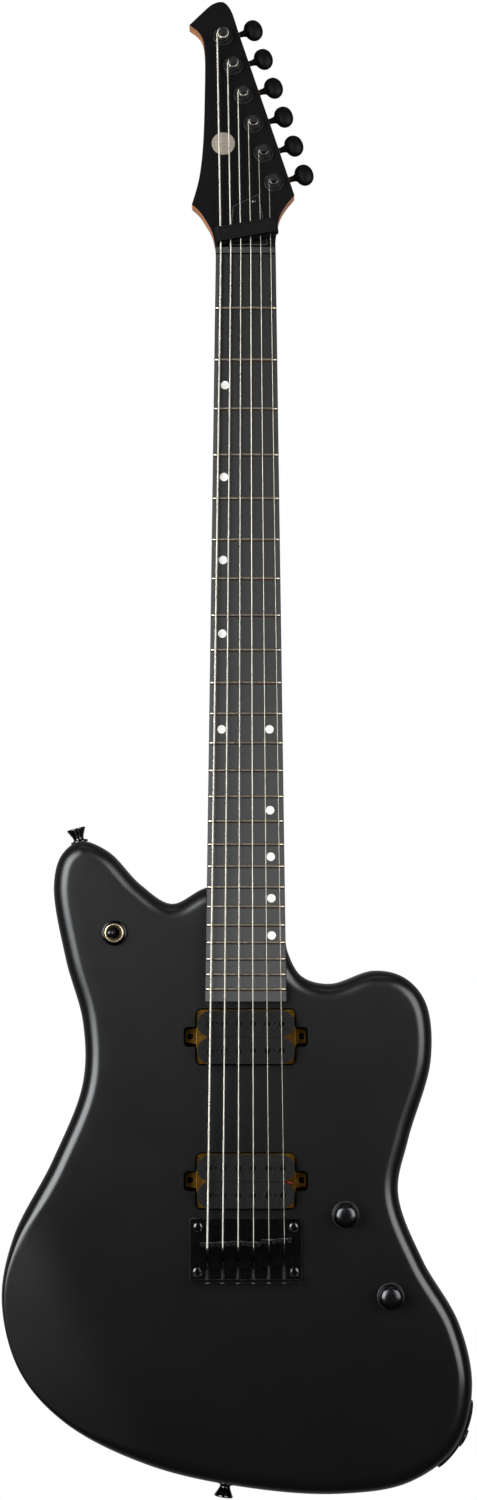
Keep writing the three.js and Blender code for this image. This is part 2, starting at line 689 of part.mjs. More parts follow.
// ---------------------------------------------------------------- strap buttons, covers, small plates
function strapButtonGeometry() {
  return turned([
    [0, 0], [6, 0], [6, 1.7], [3.7, 2.5], [3.6, 3.3], [6.6, 9.4], [6.4, 10.2], [5.8, 10.6], [0, 10.6],
  ].map(([r, y]) => [r, -y]), 20);
}

// A flat rod under the fretboard with its adjusting nut in the headstock's slot.
function trussRodGeometry() {
  const rod = box(-2.9, 2.9, NECK_FACE + GAP, NECK_FACE + 9, -438, -4);
  const nut = new THREE.CylinderGeometry(2.7, 2.7, 30, 6).rotateX(Math.PI / 2);
  return join(rod, nut.translate(0, NECK_FACE + 6.6, 7));
}

function trussRodCoverGeometry() {
  return slab(roundedPolygon([[-12, 6.5], [15.5, 6.5], [9.2, 44], [-9, 35]], 1.5), -1.9, -GAP, 2);
}

// A rubber bar over the strings and a pad under them, joined at both ends so that it stays on.
function damperGeometry() {
  const { left, right, front, back, width } = DAMPER;
  const loop = roundedPolygon([[left, front], [right, front], [right, back], [left, back]], 2.5);
  const slot = [[-20.2, -6.4], [20.8, -6.4], [20.8, -9.9], [-20.2, -9.9]];
  loop.holes.push(new THREE.Path(slot.map(([x, y]) => new THREE.Vector2(x, y))));
  const band = new THREE.ExtrudeGeometry(loop, { depth: width, bevelEnabled: false, curveSegments: 3 })
    .translate(0, 0, -width / 2);
  const tail = box(left + 2, right - 2, -6, back, -width / 2 - 1.2, -width / 2 + 0.2);
  return join(band, tail);
}

// ---------------------------------------------------------------- assembly
const guitar = new THREE.Group();
const fromNut = new THREE.Group();
fromNut.position.z = -NUT_BELOW_ORIGIN;
guitar.add(fromNut);
const headstock = new THREE.Group();
headstock.position.y = NECK_FACE;
headstock.rotation.x = -tilt;
fromNut.add(headstock);

function place(parent, name, geometry, material, x = 0, y = 0, z = 0) {
  const mesh = new THREE.Mesh(geometry, material);
  mesh.name = name;
  mesh.position.set(x, y, z);
  parent.add(mesh);
  return mesh;
}

place(fromNut, "body", bodyGeometry(), SATIN_BLACK);
place(fromNut, "neck", neckGeometry(), WOOD);
place(fromNut, "fretboard", fretboardGeometry(), EBONY);
place(fromNut, "nut", nutGeometry(), NUT_GREY);
place(fromNut, "truss_rod", trussRodGeometry(), STEEL);
place(fromNut, "neck_plate", neckPlateGeometry(), BLACK_METAL);
NECK_SCREWS.forEach(([x, z], i) =>
  place(fromNut, `neck_screw_${i + 1}`, neckScrewGeometry(), BLACK_METAL, x, 0, z));

for (let k = 0; k < STRINGS; k++) {
  const route = stringRoute(k);
  place(fromNut, `string_${k + 1}`, wire(route, STRING_DIAMETERS[k] / 2), STEEL);

  const tuner = new THREE.Group();
  const [u, v] = post(k);
  tuner.position.set(u, 0, v);
  tuner.rotation.y = -SHAFT_ANGLE;
  headstock.add(tuner);
  place(tuner, `tuner_housing_${k + 1}`, tunerHousingGeometry(), BLACK_METAL);
  place(tuner, `tuner_button_${k + 1}`, tunerButtonGeometry(), BLACK_METAL);
  place(tuner, `tuner_post_${k + 1}`, tunerPostGeometry(), BLACK_METAL);

  const x = spread(k, SADDLE_SPREAD);
  place(fromNut, `saddle_${k + 1}`, saddleGeometry(k), BLACK_METAL, x, 0, SADDLE_FRONTS[k]);
}
place(headstock, "truss_rod_cover", trussRodCoverGeometry(), BLACK_PLASTIC);
const damper = place(headstock, "string_damper", damperGeometry(), RUBBER, 0, 0, DAMPER.v);
damper.rotation.y = toRadians(-DAMPER.turn);

for (const [name, z] of Object.entries(PICKUPS)) {
  place(fromNut, `${name}_pickup_baseplate`, pickupBaseGeometry(), BRASS, 0, 0, z);
  place(fromNut, `${name}_pickup_bobbins`, pickupBobbinsGeometry(), BLACK_PLASTIC, 0, 0, z);
}
place(fromNut, "bridge_plate", bridgePlateGeometry(), BLACK_METAL);
place(fromNut, "string_ferrule_block", ferruleBlockGeometry(), BLACK_METAL);

for (const [name, [x, z]] of Object.entries(KNOBS)) {
  place(fromNut, `${name}_knob`, knobGeometry(), BLACK_PLASTIC, x, 0, z);
  place(fromNut, `${name}_pot`, potGeometry(), STEEL, x, 0, z);
}
place(fromNut, "switch_body", switchBodyGeometry(), BLACK_METAL, SWITCH[0], 0, SWITCH[1]);
place(fromNut, "switch_lever", switchLeverGeometry(), BLACK_PLASTIC, SWITCH[0], 0, SWITCH[1]);

place(fromNut, "jack_plate", jackPlateGeometry(), BLACK_PLASTIC);
place(fromNut, "jack_socket", atJack(jackSocketGeometry(), JACK_MOUTH), BLACK_METAL);

for (const [name, button] of Object.entries(STRAP_BUTTONS)) {
  place(fromNut, `${name}_strap_button`, atStrapButton(strapButtonGeometry(), button), BLACK_METAL);
}

place(fromNut, "control_cavity_cover", slab(
  new THREE.Shape(grown(smoothLoop(CONTROL_CAVITY, 24), COVER_MARGIN)),
  BODY_THICKNESS - COVER_THICKNESS, BODY_THICKNESS), BLACK_PLASTIC);
place(fromNut, "switch_cavity_cover",
  cylinderY(SWITCH_CAVITY_RADIUS + 4.2, BODY_THICKNESS - COVER_THICKNESS, BODY_THICKNESS, ...SWITCH, 24),
  BLACK_PLASTIC);

export default guitar;
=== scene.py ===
import math

import bmesh
import bpy
from mathutils import Matrix, Vector, geometry, kdtree


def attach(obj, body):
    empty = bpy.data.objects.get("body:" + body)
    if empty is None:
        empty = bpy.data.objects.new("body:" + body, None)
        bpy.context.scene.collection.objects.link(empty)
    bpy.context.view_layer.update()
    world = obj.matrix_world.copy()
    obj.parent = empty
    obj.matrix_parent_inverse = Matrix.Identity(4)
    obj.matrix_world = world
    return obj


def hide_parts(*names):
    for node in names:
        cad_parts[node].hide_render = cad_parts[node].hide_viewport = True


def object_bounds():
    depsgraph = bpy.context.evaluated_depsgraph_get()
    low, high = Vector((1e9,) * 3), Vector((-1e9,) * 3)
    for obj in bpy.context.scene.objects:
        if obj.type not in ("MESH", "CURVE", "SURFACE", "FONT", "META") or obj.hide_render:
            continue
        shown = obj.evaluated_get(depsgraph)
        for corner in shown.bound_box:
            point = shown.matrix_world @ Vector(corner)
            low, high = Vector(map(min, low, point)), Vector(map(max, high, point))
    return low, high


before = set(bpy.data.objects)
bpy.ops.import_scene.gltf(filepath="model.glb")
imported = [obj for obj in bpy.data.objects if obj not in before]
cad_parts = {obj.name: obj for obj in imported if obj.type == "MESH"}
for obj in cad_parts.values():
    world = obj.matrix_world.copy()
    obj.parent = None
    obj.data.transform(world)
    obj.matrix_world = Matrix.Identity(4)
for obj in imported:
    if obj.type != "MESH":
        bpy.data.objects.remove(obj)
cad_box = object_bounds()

# The look of a solid-body electric guitar over its CAD frame. Shapes are written in millimetres from
# the nut's fretboard-side face and are turned into the row frame, in metres, as each piece is made.
# -Y is the front, +Z runs to the headstock, +X is the treble side.

MM = 0.001
NUT_Z = -16.0
ROOT = "guitar"

# ---- sizes shared with the CAD model
SCALE = 685.8
STRINGS = 6
BODY_THICKNESS = 44.0
BODY_ROUND = 11.0
BOARD_TOP = -9.6
BOARD_RADIUS = 305.0
BOARD_END = -522.9
NECK_FACE = -3.6
HALF_WIDTH_NUT = 21.0
HALF_WIDTH_END = 28.3
TILT = math.radians(9)
POST_START = (-16.1, 160.8)
POST_STEP = (7.18, -21.58)
SHAFT_ANGLE = math.atan2(POST_STEP[0], -POST_STEP[1])
NUT_SPREAD = 35
SADDLE_SPREAD = 53.5
STRING_DIAMETERS = (1.57, 1.17, 0.91, 0.66, 0.43, 0.33)
SADDLE_FRONTS = (-689.2, -688.8, -688.2, -688.8, -687.0, -686.4)
SADDLE_LENGTH = 20.4
STRING_DIVE = 4.5
SADDLE_STRING_Y = -14.2
STRING_HOLE_Z = -701.0
INTONATION_Y = -6.6
WORM = (0, 20, 4.6)
KNOBS = {"volume": (69.5, -671.3), "tone": (100.8, -727.8)}
SWITCH = (-91.9, -475.3)
PICKUP_SCREW_X = 38.9
PICKUPS = {"neck": (-547.7, 10.0), "bridge": (-648.0, 10.3)}
SWITCH_PIVOT = 4.0
SWITCH_LEAN = math.radians(-7)
JACK_CENTRE = (97.5, -799.5)
JACK_RIM = 59.8
JACK_ANGLE = math.radians(-28)
STRAP_BUTTONS = {
    "upper": ((-0.26, 0, 0.966), -116.8, -412.2),
    "lower": ((-0.16, 0, -0.987), -14.0, -859.2),
}

# The heights in the row frame, in metres, between which the lacquer's gloss changes.
LOW_BOUT = -0.84
HORN = -0.46

BODY_RIM = [
    (-29, -444), (-52, -455), (-74, -441.5), (-97, -418), (-116, -411), (-129, -420.5),
    (-134.5, -442), (-126, -494), (-114, -538), (-114, -580), (-135, -634), (-162.5, -688),
    (-170.5, -732), (-158, -781), (-126, -817), (-67, -846.5), (3, -862), (66, -866),
    (114, -858), (147, -833), (158, -793), (149, -748), (124, -704.5), (106.5, -657),
    (113.5, -620), (129.5, -564), (126, -524), (111, -506.5), (90, -502), (59, -511.3),
    (39.5, -506), (29.5, -489), (25, -465), (9, -447), (-10, -441),
]
CONTROL_CAVITY = [
    (52, -664), (69, -650), (88, -664), (106, -708), (128, -764),
    (133, -803), (119, -817), (102, -800), (84, -748), (60, -694),
]
NECK_PLATE = [(-24, -462), (-1, -462), (12, -480), (17, -516), (-24, -516)]
NECK_SCREWS = [(-17, -469), (-4, -469), (9, -508), (-17, -508)]


# ---- shape helpers: a part is (points, faces)
def lathe(profile, sides=48):
    """A turned part about the Y axis; the profile is (radius, y) and a zero radius is a pole."""
    points, rows = [], []
    for r, y in profile:
        if r == 0:
            rows.append([len(points)] * sides)
            points.append(Vector((0, y, 0)))
        else:
            rows.append(list(range(len(points), len(points) + sides)))
            turns = [2 * math.pi * i / sides for i in range(sides)]
            points += [Vector((r * math.cos(t), y, r * math.sin(t))) for t in turns]
    faces = []
    for low, high in zip(rows, rows[1:]):
        for i in range(sides):
            j = (i + 1) % sides
            face = []
            for k in (low[i], low[j], high[j], high[i]):
                if k not in face:
                    face.append(k)
            if len(face) > 2:
                faces.append(face)
    return points, faces


def ring_lathe(profile, sides=48):
    """A turned part whose profile closes on itself."""
    return lathe(list(profile) + [profile[0]], sides)


def loft(rings, caps=True):
    """A skin over rings that all have the same number of points."""
    points = [p for ring in rings for p in ring]
    n = len(rings[0])
    faces = []
    for i in range(len(rings) - 1):
        for j in range(n):
            k = (j + 1) % n
            faces.append([i * n + j, i * n + k, (i + 1) * n + k, (i + 1) * n + j])
    if caps:
        faces.append(list(range(n)))
        faces.append(list(range((len(rings) - 1) * n, len(rings) * n)))
    return points, faces


def rod(radius, front, back, sides):
    """A plain cylinder along Y."""
    return lathe([(0, front), (radius, front), (radius, back), (0, back)], sides)


def box(left, right, low, high):
    """The corners of a rectangle in X and Z."""
    return [(left, low), (right, low), (right, high), (left, high)]


def prism(outline, front, back):
    """A flat piece with an outline in X and Z."""
    return loft([[Vector((p[0], y, p[1])) for p in outline] for y in (front, back)])


def tube(path, radius, sides=12):
    """A round wire; radius is one number or one for each point."""
    radii = radius if isinstance(radius, (list, tuple)) else [radius] * len(path)
    side = Vector((1, 0, 0))
    rings = []
    for i, point in enumerate(path):
        ahead = (path[min(i + 1, len(path) - 1)] - path[max(i - 1, 0)]).normalized()
        side = (side - ahead * side.dot(ahead)).normalized()
        up = ahead.cross(side)
        turns = [2 * math.pi * j / sides for j in range(sides)]
        rings.append([point + (side * math.cos(t) + up * math.sin(t)) * radii[i] for t in turns])
    return loft(rings)


def arc(start, corner, end, steps):
    """Points from start to end along a curve that leans into the corner."""
    out = []
    for i in range(steps + 1):
        t = i / steps
        out.append(start * (1 - t) ** 2 + corner * 2 * t * (1 - t) + end * t * t)
    return out


def bent(path, radius, steps=6):
    """The path with each inner corner rounded."""
    out = [path[0]]
    for a, b, c in zip(path, path[1:], path[2:]):
        reach = min(radius, (a - b).length * 0.45, (c - b).length * 0.45)
        start, end = b + (a - b).normalized() * reach, b + (c - b).normalized() * reach
        out += arc(start, b, end, steps)
    return out + [path[-1]]


def rounded(corners, radius, steps=6):
    """A polygon with rounded corners; radius is one number or one for each corner."""
    out = []
    for i, corner in enumerate(corners):
        here, before = Vector(corner), Vector(corners[i - 1])
        after = Vector(corners[(i + 1) % len(corners)])
        r = radius[i] if isinstance(radius, (list, tuple)) else radius
        start, end = here + (before - here).normalized() * r, here + (after - here).normalized() * r
        out += arc(start, here, end, steps)
    return out


def rounded_box(half, z0, z1, radius):
    return rounded(box(-half, half, z0, z1), radius)


def disc(radius, x=0.0, z=0.0, sides=32):
    turns = [2 * math.pi * i / sides for i in range(sides)]
    return [Vector((x + radius * math.cos(t), z + radius * math.sin(t))) for t in turns]


def spline(p0, p1, p2, p3, t):
    """One point of a centripetal Catmull-Rom stretch from p1 to p2."""
    knots = [0.0]
    for a, b in ((p0, p1), (p1, p2), (p2, p3)):
        knots.append(knots[-1] + max((b - a).length, 1e-6) ** 0.5)
    now = knots[1] + t * (knots[2] - knots[1])

    def between(a, b, i, j):
        span = knots[j] - knots[i]
        return a * ((knots[j] - now) / span) + b * ((now - knots[i]) / span)

    first, middle, last = between(p0, p1, 0, 1), between(p1, p2, 1, 2), between(p2, p3, 2, 3)
    return between(between(first, middle, 0, 2), between(middle, last, 1, 3), 1, 2)


def smooth_loop(points, count, fine=24):
    """A closed spline through the points, cut into equal lengths."""
    points = [Vector(p) for p in points]
    n = len(points)
    dense = [
        spline(points[i - 1], points[i], points[(i + 1) % n], points[(i + 2) % n], k / fine)
        for i in range(n) for k in range(fine)
    ]
    lengths = [0.0]
    for a, b in zip(dense, dense[1:] + dense[:1]):
        lengths.append(lengths[-1] + (b - a).length)
    out, at = [], 0
    for i in range(count):
        want = lengths[-1] * i / count
        while lengths[at + 1] < want:
            at += 1
        t = (want - lengths[at]) / max(lengths[at + 1] - lengths[at], 1e-9)
        out.append(dense[at].lerp(dense[(at + 1) % len(dense)], t))
    return out


def open_curve(points, fine=8):
    """A spline through the points from the first to the last."""
    points = [Vector(p) for p in points]
    ends = [points[0] * 2 - points[1]] + points + [points[-1] * 2 - points[-2]]
    out = [
        spline(*ends[i:i + 4], k / fine) for i in range(len(points) - 1) for k in range(fine)
    ]
    return out + [points[-1]]


def inward(loop, distance):
    """The loop moved inwards along its own normals; a negative distance grows it."""
    n = len(loop)
    area = sum(loop[i - 1].x * loop[i].y - loop[i].x * loop[i - 1].y for i in range(n))
    sign = 1 if area > 0 else -1
    out = []
    for i, p in enumerate(loop):
        ahead = (loop[(i + 1) % n] - loop[i - 1]).normalized()
        out.append(p + Vector((-ahead.y, ahead.x)) * distance * sign)
    return out


def along(table, v):
    """The value at v of a line through (v, value) pairs."""
    if v <= table[0][0]:
        return table[0][1]
    for (v0, a), (v1, b) in zip(table, table[1:]):
        if v <= v1:
            return a + (b - a) * (v - v0) / max(v1 - v0, 1e-9)
    return table[-1][1]


def smoothstep(a, b, x):
    t = min(max((x - a) / (b - a), 0), 1)
    return t * t * (3 - 2 * t)


def mix(a, b, t):
    return a + (b - a) * t


def offset(x, y, z):
    return Matrix.Translation((x, y, z))


def turned(degrees, axis):
    return Matrix.Rotation(math.radians(degrees), 4, axis)


def moved(part, matrix):
    return [matrix @ p for p in part[0]], part[1]


def shifted(part, x=0.0, y=0.0, z=0.0):
    return moved(part, offset(x, y, z))


def merged(*parts):
    points, faces = [], []
    for part in parts:
        base = len(points)
        points += list(part[0])
        faces += [[base + i for i in face] for face in part[1]]
    return points, faces


def raw_object(name, part, scale=1.0):
    """A mesh object with its faces turned outwards."""
    mesh = bpy.data.meshes.new(name)
    mesh.from_pydata([tuple(p * scale) for p in part[0]], [], part[1])
    work = bmesh.new()
    work.from_mesh(mesh)
    bmesh.ops.recalc_face_normals(work, faces=work.faces)
    work.to_mesh(mesh)
    work.free()
    obj = bpy.data.objects.new(name, mesh)
    bpy.context.scene.collection.objects.link(obj)
    return obj


def carved(part, *tools):
    """The part with the tools cut out of it."""
    work = raw_object("carving", part)
    cutters = []
    for tool in tools:
        cutter = raw_object("cutter", tool)
        cutters.append(cutter)
        modifier = work.modifiers.new("cut", "BOOLEAN")
        modifier.operation, modifier.solver, modifier.object = "DIFFERENCE", "EXACT", cutter
    graph = bpy.context.evaluated_depsgraph_get()
    mesh = bpy.data.meshes.new_from_object(work.evaluated_get(graph))
    result = [v.co.copy() for v in mesh.vertices], [list(p.vertices) for p in mesh.polygons]
    bpy.data.meshes.remove(mesh)
    for obj in [work, *cutters]:
        data = obj.data
        bpy.data.objects.remove(obj)
        bpy.data.meshes.remove(data)
    return result


# ---- frames
FROM_NUT = offset(0, 0, NUT_Z)
HEAD = FROM_NUT @ offset(0, NECK_FACE, 0) @ Matrix.Rotation(-TILT, 4, "X")


def post_at(k):
    """Across and along the headstock's face to a string post."""
    return POST_START[0] + k * POST_STEP[0], POST_START[1] + k * POST_STEP[1]


def tuner_frame(k):
    u, v = post_at(k)
    return HEAD @ offset(u, 0, v) @ Matrix.Rotation(-SHAFT_ANGLE, 4, "Y")


def head_point(u, v, h):
    """A point above the headstock's face, in the guitar's own millimetres."""
    return FROM_NUT.inverted() @ (HEAD @ Vector((u, -h, v)))


def facing(direction, x, y, z):
    """The frame of a part made about Y, front towards -Y, that faces the direction from a point."""
    turn = Vector((0, -1, 0)).rotation_difference(Vector(direction).normalized())
    return FROM_NUT @ offset(x, y, z) @ turn.to_matrix().to_4x4()


def at_jack(radius, swing=0.0):
    """The frame of a part that faces out of the jack's hollow, this far from the hollow's centre."""
    angle = JACK_ANGLE + swing
    way = (math.cos(angle), 0, math.sin(angle))
    x, z = JACK_CENTRE[0] + radius * way[0], JACK_CENTRE[1] + radius * way[2]
    return facing(way, x, BODY_THICKNESS / 2, z)


def half_width(z):
    return mix(HALF_WIDTH_NUT, HALF_WIDTH_END, min(z / BOARD_END, 1))


def crown(x):
    return x * x / (2 * BOARD_RADIUS)


def fret_z(n):
    return -SCALE * (1 - 2 ** (-n / 12))


def string_x(k, total):
    return (k / (STRINGS - 1) - 0.5) * total


# ---- materials
class Nodes:
    """The node tree of a material or a world, with short ways to add to it."""

    def __init__(self, owner):
        owner.use_nodes = True
        self.owner, self.tree = owner, owner.node_tree
        self.shader = self.tree.nodes.get("Principled BSDF")
        self.coords = self.add("ShaderNodeTexCoord").outputs

    def add(self, kind, **values):
        node = self.tree.nodes.new(kind)
        for key, value in values.items():
            if key in node.inputs:
                node.inputs[key].default_value = value
            else:
                setattr(node, key, value)
        return node

    def link(self, a, b):
        self.tree.links.new(a, b)

    def split(self, vector):
        """The sockets X, Y and Z of a vector."""
        node = self.add("ShaderNodeSeparateXYZ")
        self.link(vector, node.inputs["Vector"])
        return node.outputs

    def noise(self, scale, detail=4.0, rough=0.55, stretch=(1, 1, 1)):
        mapping = self.add("ShaderNodeMapping", Scale=stretch)
        self.link(self.coords["Object"], mapping.inputs["Vector"])
        noise = self.add("ShaderNodeTexNoise", Scale=scale, Detail=detail, Roughness=rough)
        self.link(mapping.outputs["Vector"], noise.inputs["Vector"])
        return noise.outputs["Fac"]

    def ramp(self, value, *stops):
        ramp = self.add("ShaderNodeValToRGB")
        for i, (at, colour) in enumerate(stops):
            if i < 2:
                stop = ramp.color_ramp.elements[i]
            else:
                stop = ramp.color_ramp.elements.new(at)
            stop.position, stop.color = at, (*colour, 1)
        self.link(value, ramp.inputs["Fac"])
        return ramp.outputs["Color"]

    def mottle(self, value, dark, light):
        return self.ramp(value, (0.3, dark), (0.7, light))

    def range(self, value, low, high, start=0.3, end=0.7):
        """The value's stretch from start to end, carried over to low to high."""
        limits = {"From Min": start, "From Max": end, "To Min": low, "To Max": high}
        node = self.add("ShaderNodeMapRange", **limits)
        self.link(value, node.inputs["Value"])
        return node.outputs["Result"]

    def blend(self, amount, first, second):
        """The socket first where the amount is 0 and the plain colour second where it is 1."""
        node = self.add("ShaderNodeMix", data_type="RGBA")
        self.link(amount, node.inputs[0])
        self.link(first, node.inputs[6])
        node.inputs[7].default_value = (*second, 1)
        return node.outputs[2]

    def sum_of(self, value, share, rest):
        """The value times its share, plus the rest."""
        node = self.add("ShaderNodeMath", operation="MULTIPLY_ADD")
        self.link(value, node.inputs[0])
        node.inputs[1].default_value = share
        self.link(rest, node.inputs[2])
        return node.outputs[0]

    def bump(self, height, strength, depth):
        """Relief of a depth in millimetres."""
        node = self.add("ShaderNodeBump", Strength=strength, Distance=depth * MM)
        self.link(height, node.inputs["Height"])
        return node.outputs["Normal"]

    def dress(self, colour, rough, normal, **values):
        """Connects the shader and sets its plain values; gives back the material."""
        for socket, source in (("Base Color", colour), ("Roughness", rough), ("Normal", normal)):
            self.link(source, self.shader.inputs[socket])
        for name, value in values.items():
            self.shader.inputs[name].default_value = value
        return self.owner


def new_material(name):
    return Nodes(bpy.data.materials.new(name))


def finish(name, dark, light, rough, scale=60.0, bump=(900.0, 0.1, 0.1), metallic=0.0, specular=0.5,
           stretch=(1, 1, 1), coat=0.0, edge_highlight=None):
    """A painted, plated or moulded finish: mottled colour, uneven gloss, a fine surface and,
    where asked, a painted highlight on its sharp edges.
    """
    n = new_material(name)
    colour = n.mottle(n.noise(scale, stretch=stretch), dark, light)
    if edge_highlight:
        # Painted highlight: sharp edges, found by their pointiness, are lightened towards the given colour.
        edge = n.add("ShaderNodeNewGeometry").outputs["Pointiness"]
        colour = n.blend(n.ramp(edge, (0.53, grey(0)), (0.6, grey(1))), colour, edge_highlight)
    frequency, strength, depth = bump
    gloss, relief = n.range(n.noise(scale * 3, 6), *rough), n.bump(n.noise(frequency, 3), strength, depth)
    shine = {"Metallic": metallic, "Specular IOR Level": specular}
    return n.dress(colour, gloss, relief, **shine, **{"Coat Weight": coat, "Coat Roughness": 0.1})


def wood(name, dark, mid, light, rough, grain=14.0, specular=0.5, body_end=None):
    """Long-grained wood along Z: bands of colour and fine streaks, blended towards the body end into the last
    argument's colour.
    """
    n = new_material(name)
    bands = n.noise(grain, 5, 0.6, (6, 6, 0.55))
    streaks = n.noise(grain * 14, 5, 0.6, (3, 3, 0.05))
    share = n.add("ShaderNodeMath", operation="MULTIPLY")
    n.link(bands, share.inputs[0])
    share.inputs[1].default_value = 0.55
    figure = n.sum_of(streaks, 0.45, share.outputs[0])
    colour = n.ramp(figure, (0.36, dark), (0.62, light), (0.5, mid))
    if body_end:
        height = n.split(n.coords["Object"])["Z"]
        colour = n.blend(n.range(height, 0, 1, NUT_Z * MM, (NUT_Z + BOARD_END) * MM), colour, body_end)
    shine = {"Specular IOR Level": specular}
    return n.dress(colour, n.range(streaks, *rough), n.bump(streaks, 0.3, 0.15), **shine)


def wound_wire(name, pitch):
    """Nickel string with its winding as a fine ribbed surface."""
    n = new_material(name)
    wave = n.add("ShaderNodeTexWave", wave_type="BANDS", bands_direction="Z", Scale=0.314 / (pitch * MM))
    n.link(n.coords["Object"], wave.inputs["Vector"])
    return n.dress(n.mottle(n.noise(70, 4), (0.38, 0.352, 0.30), (0.52, 0.49, 0.43)),
                   n.range(n.noise(300), 0.24, 0.36), n.bump(wave.outputs["Fac"], 0.4, 0.1), Metallic=1)


def lacquer(name, dark, light, top_rough, low_rough):
    """Satin lacquer that has been rubbed a little glossier towards the lower end of the body."""
    n = new_material(name)
    height = n.split(n.coords["Object"])["Z"]
    rough = n.sum_of(n.noise(21, 6), 0.05, n.range(height, low_rough, top_rough, LOW_BOUT, HORN))
    return n.dress(n.mottle(n.noise(7), dark, light), rough, n.bump(n.noise(1500, 3), 0.05, 0.04))


def grey(level):
    return level, level, level


SATIN_BLACK = lacquer("satin_black_lacquer", grey(0.0013), (0.0019, 0.0019, 0.0020), 0.298, 0.19)
HEAD_BLACK = finish("matte_black_face", grey(0.0008), (0.0012, 0.0011, 0.0010), (0.42, 0.5), 12,
                    (1800, 0.06, 0.05), specular=0.1)
MAPLE = wood("roasted_maple", (0.20, 0.065, 0.022), (0.36, 0.135, 0.05), (0.47, 0.20, 0.08), (0.38, 0.5))
# The ebony grows lighter towards the body end.
EBONY = wood("dark_ebony", (0.0028, 0.0027, 0.0026), (0.0042, 0.0040, 0.0038), (0.0062, 0.0058, 0.0054),
             (0.42, 0.54), grain=22, specular=0.17, body_end=grey(0.042))
NICKEL = finish("polished_nickel", (0.74, 0.70, 0.63), (0.84, 0.80, 0.73), (0.14, 0.24), 200,
                (2500, 0.05, 0.03), 1.0)
FRET_METAL = finish("fret_nickel", (0.30, 0.265, 0.21), (0.40, 0.355, 0.285), (0.26, 0.38), 200,
                    (2500, 0.05, 0.03), 1.0)
# Painted shade: a dark brown on each fret's bridge-side flank for the shadow line under the fret.
FRET_SHADE = finish("fret_painted_shade", (0.045, 0.02, 0.01), (0.075, 0.034, 0.016), (0.4, 0.5),
                       260, (2000, 0.1, 0.04), 0.7)
BUSHING = finish("warm_nickel_bushing", (0.62, 0.47, 0.30), (0.80, 0.66, 0.46), (0.26, 0.36), 300,
                 (2200, 0.1, 0.04), 1.0)
PLAIN_STRING = finish("plain_steel_string", (0.38, 0.345, 0.285), (0.50, 0.46, 0.395), (0.3, 0.4), 120,
                      (3000, 0.05, 0.03), 1.0)
WOUND_STRING = wound_wire("wound_nickel_string", 0.3)
# Black chrome with a painted highlight on its sharp edges.
GLOSS_BLACK = finish("black_chrome", (0.046, 0.046, 0.048), (0.064, 0.064, 0.067), (0.1, 0.16), 90,
                     (1200, 0.03, 0.04), 1.0, edge_highlight=(0.16, 0.16, 0.165))
# Satin black hardware with a faint painted highlight on its sharp edges.
SATIN_HARDWARE = finish("satin_black_hardware", grey(0.0018), grey(0.003), (0.34, 0.44), 90,
                        (1600, 0.05, 0.04), specular=0.24, edge_highlight=grey(0.02))
MATTE_PLASTIC = finish("matte_black_plastic", (0.0018, 0.0018, 0.0017), (0.0028, 0.0027, 0.0026),
                       (0.36, 0.46), 150, (2200, 0.14, 0.05), specular=0.35)
BOBBIN = finish("bobbin_plastic", grey(0.0006), (0.0075, 0.0073, 0.0073), (0.42, 0.56), 1100,
                (1300, 0.2, 0.1), specular=0.14)
# Painted highlight: a lighter plastic on the flanges' bevels for the light line along their rims.
BOBBIN_HIGHLIGHT = finish("bobbin_painted_highlight", grey(0.02), (0.045, 0.044, 0.043), (0.36, 0.48), 400,
                     specular=0.3)
TAPE = finish("coil_tape", grey(0.002), grey(0.004), (0.5, 0.65), 300, (900, 0.3, 0.1), specular=0.3,
              stretch=(1, 6, 1))
BRASS = finish("satin_brass", (0.15, 0.070, 0.009), (0.26, 0.135, 0.024), (0.26, 0.38), 120,
               (1800, 0.12, 0.05), 1.0, stretch=(1, 1, 5))
GRAPHITE = finish("graphite_nut", (0.0045, 0.0045, 0.005), (0.0075, 0.0075, 0.008), (0.45, 0.6), 400,
                  (1800, 0.2, 0.06), specular=0.35)
PEARL = finish("pearl_dot", (0.46, 0.45, 0.41), (0.72, 0.71, 0.67), (0.22, 0.34), 260, (900, 0.05, 0.04),
               stretch=(1, 1, 2.5), coat=0.3)
RUBBER = finish("black_rubber", grey(0.0012), (0.0024, 0.0024, 0.0025), (0.5, 0.64), 180, (1400, 0.3, 0.1),
                specular=0.09)
COVER_EDGE = finish("cover_bevel", grey(0.034), (0.066, 0.065, 0.063), (0.36, 0.5), 200, specular=0.3)
# Painted highlight: a bright metal laid on bevels and rims for the light lines they catch.
RIM_HIGHLIGHT = finish("painted_rim_highlight", (0.40, 0.40, 0.41), (0.58, 0.58, 0.60), (0.44, 0.54), 300,
                     (1500, 0.04, 0.04), 1.0)
NUT_BLACK = finish("dark_nut_chrome", (0.016, 0.016, 0.017), (0.024, 0.024, 0.025), (0.16, 0.24), 200,
                   (1500, 0.04, 0.04), 1.0)
LEVER_BLACK = finish("lever_black", grey(0.0014), grey(0.0022), (0.16, 0.22), 200, (1500, 0.04, 0.04),
                     specular=0.4)
KEY_BLACK = finish("tuner_key_black", (0.0012, 0.0012, 0.0011), (0.0020, 0.0019, 0.0018), (0.42, 0.52), 150,
                   (2200, 0.12, 0.05), specular=0.1)
RED_WIRE = finish("red_wire", (0.15, 0.003, 0.003), (0.24, 0.007, 0.006), (0.3, 0.4), 200)
INLAY = finish("pale_disc", (0.20, 0.165, 0.13), (0.27, 0.225, 0.185), (0.38, 0.5), 90, (1200, 0.08, 0.05),
               0.2, stretch=(1, 1, 12))
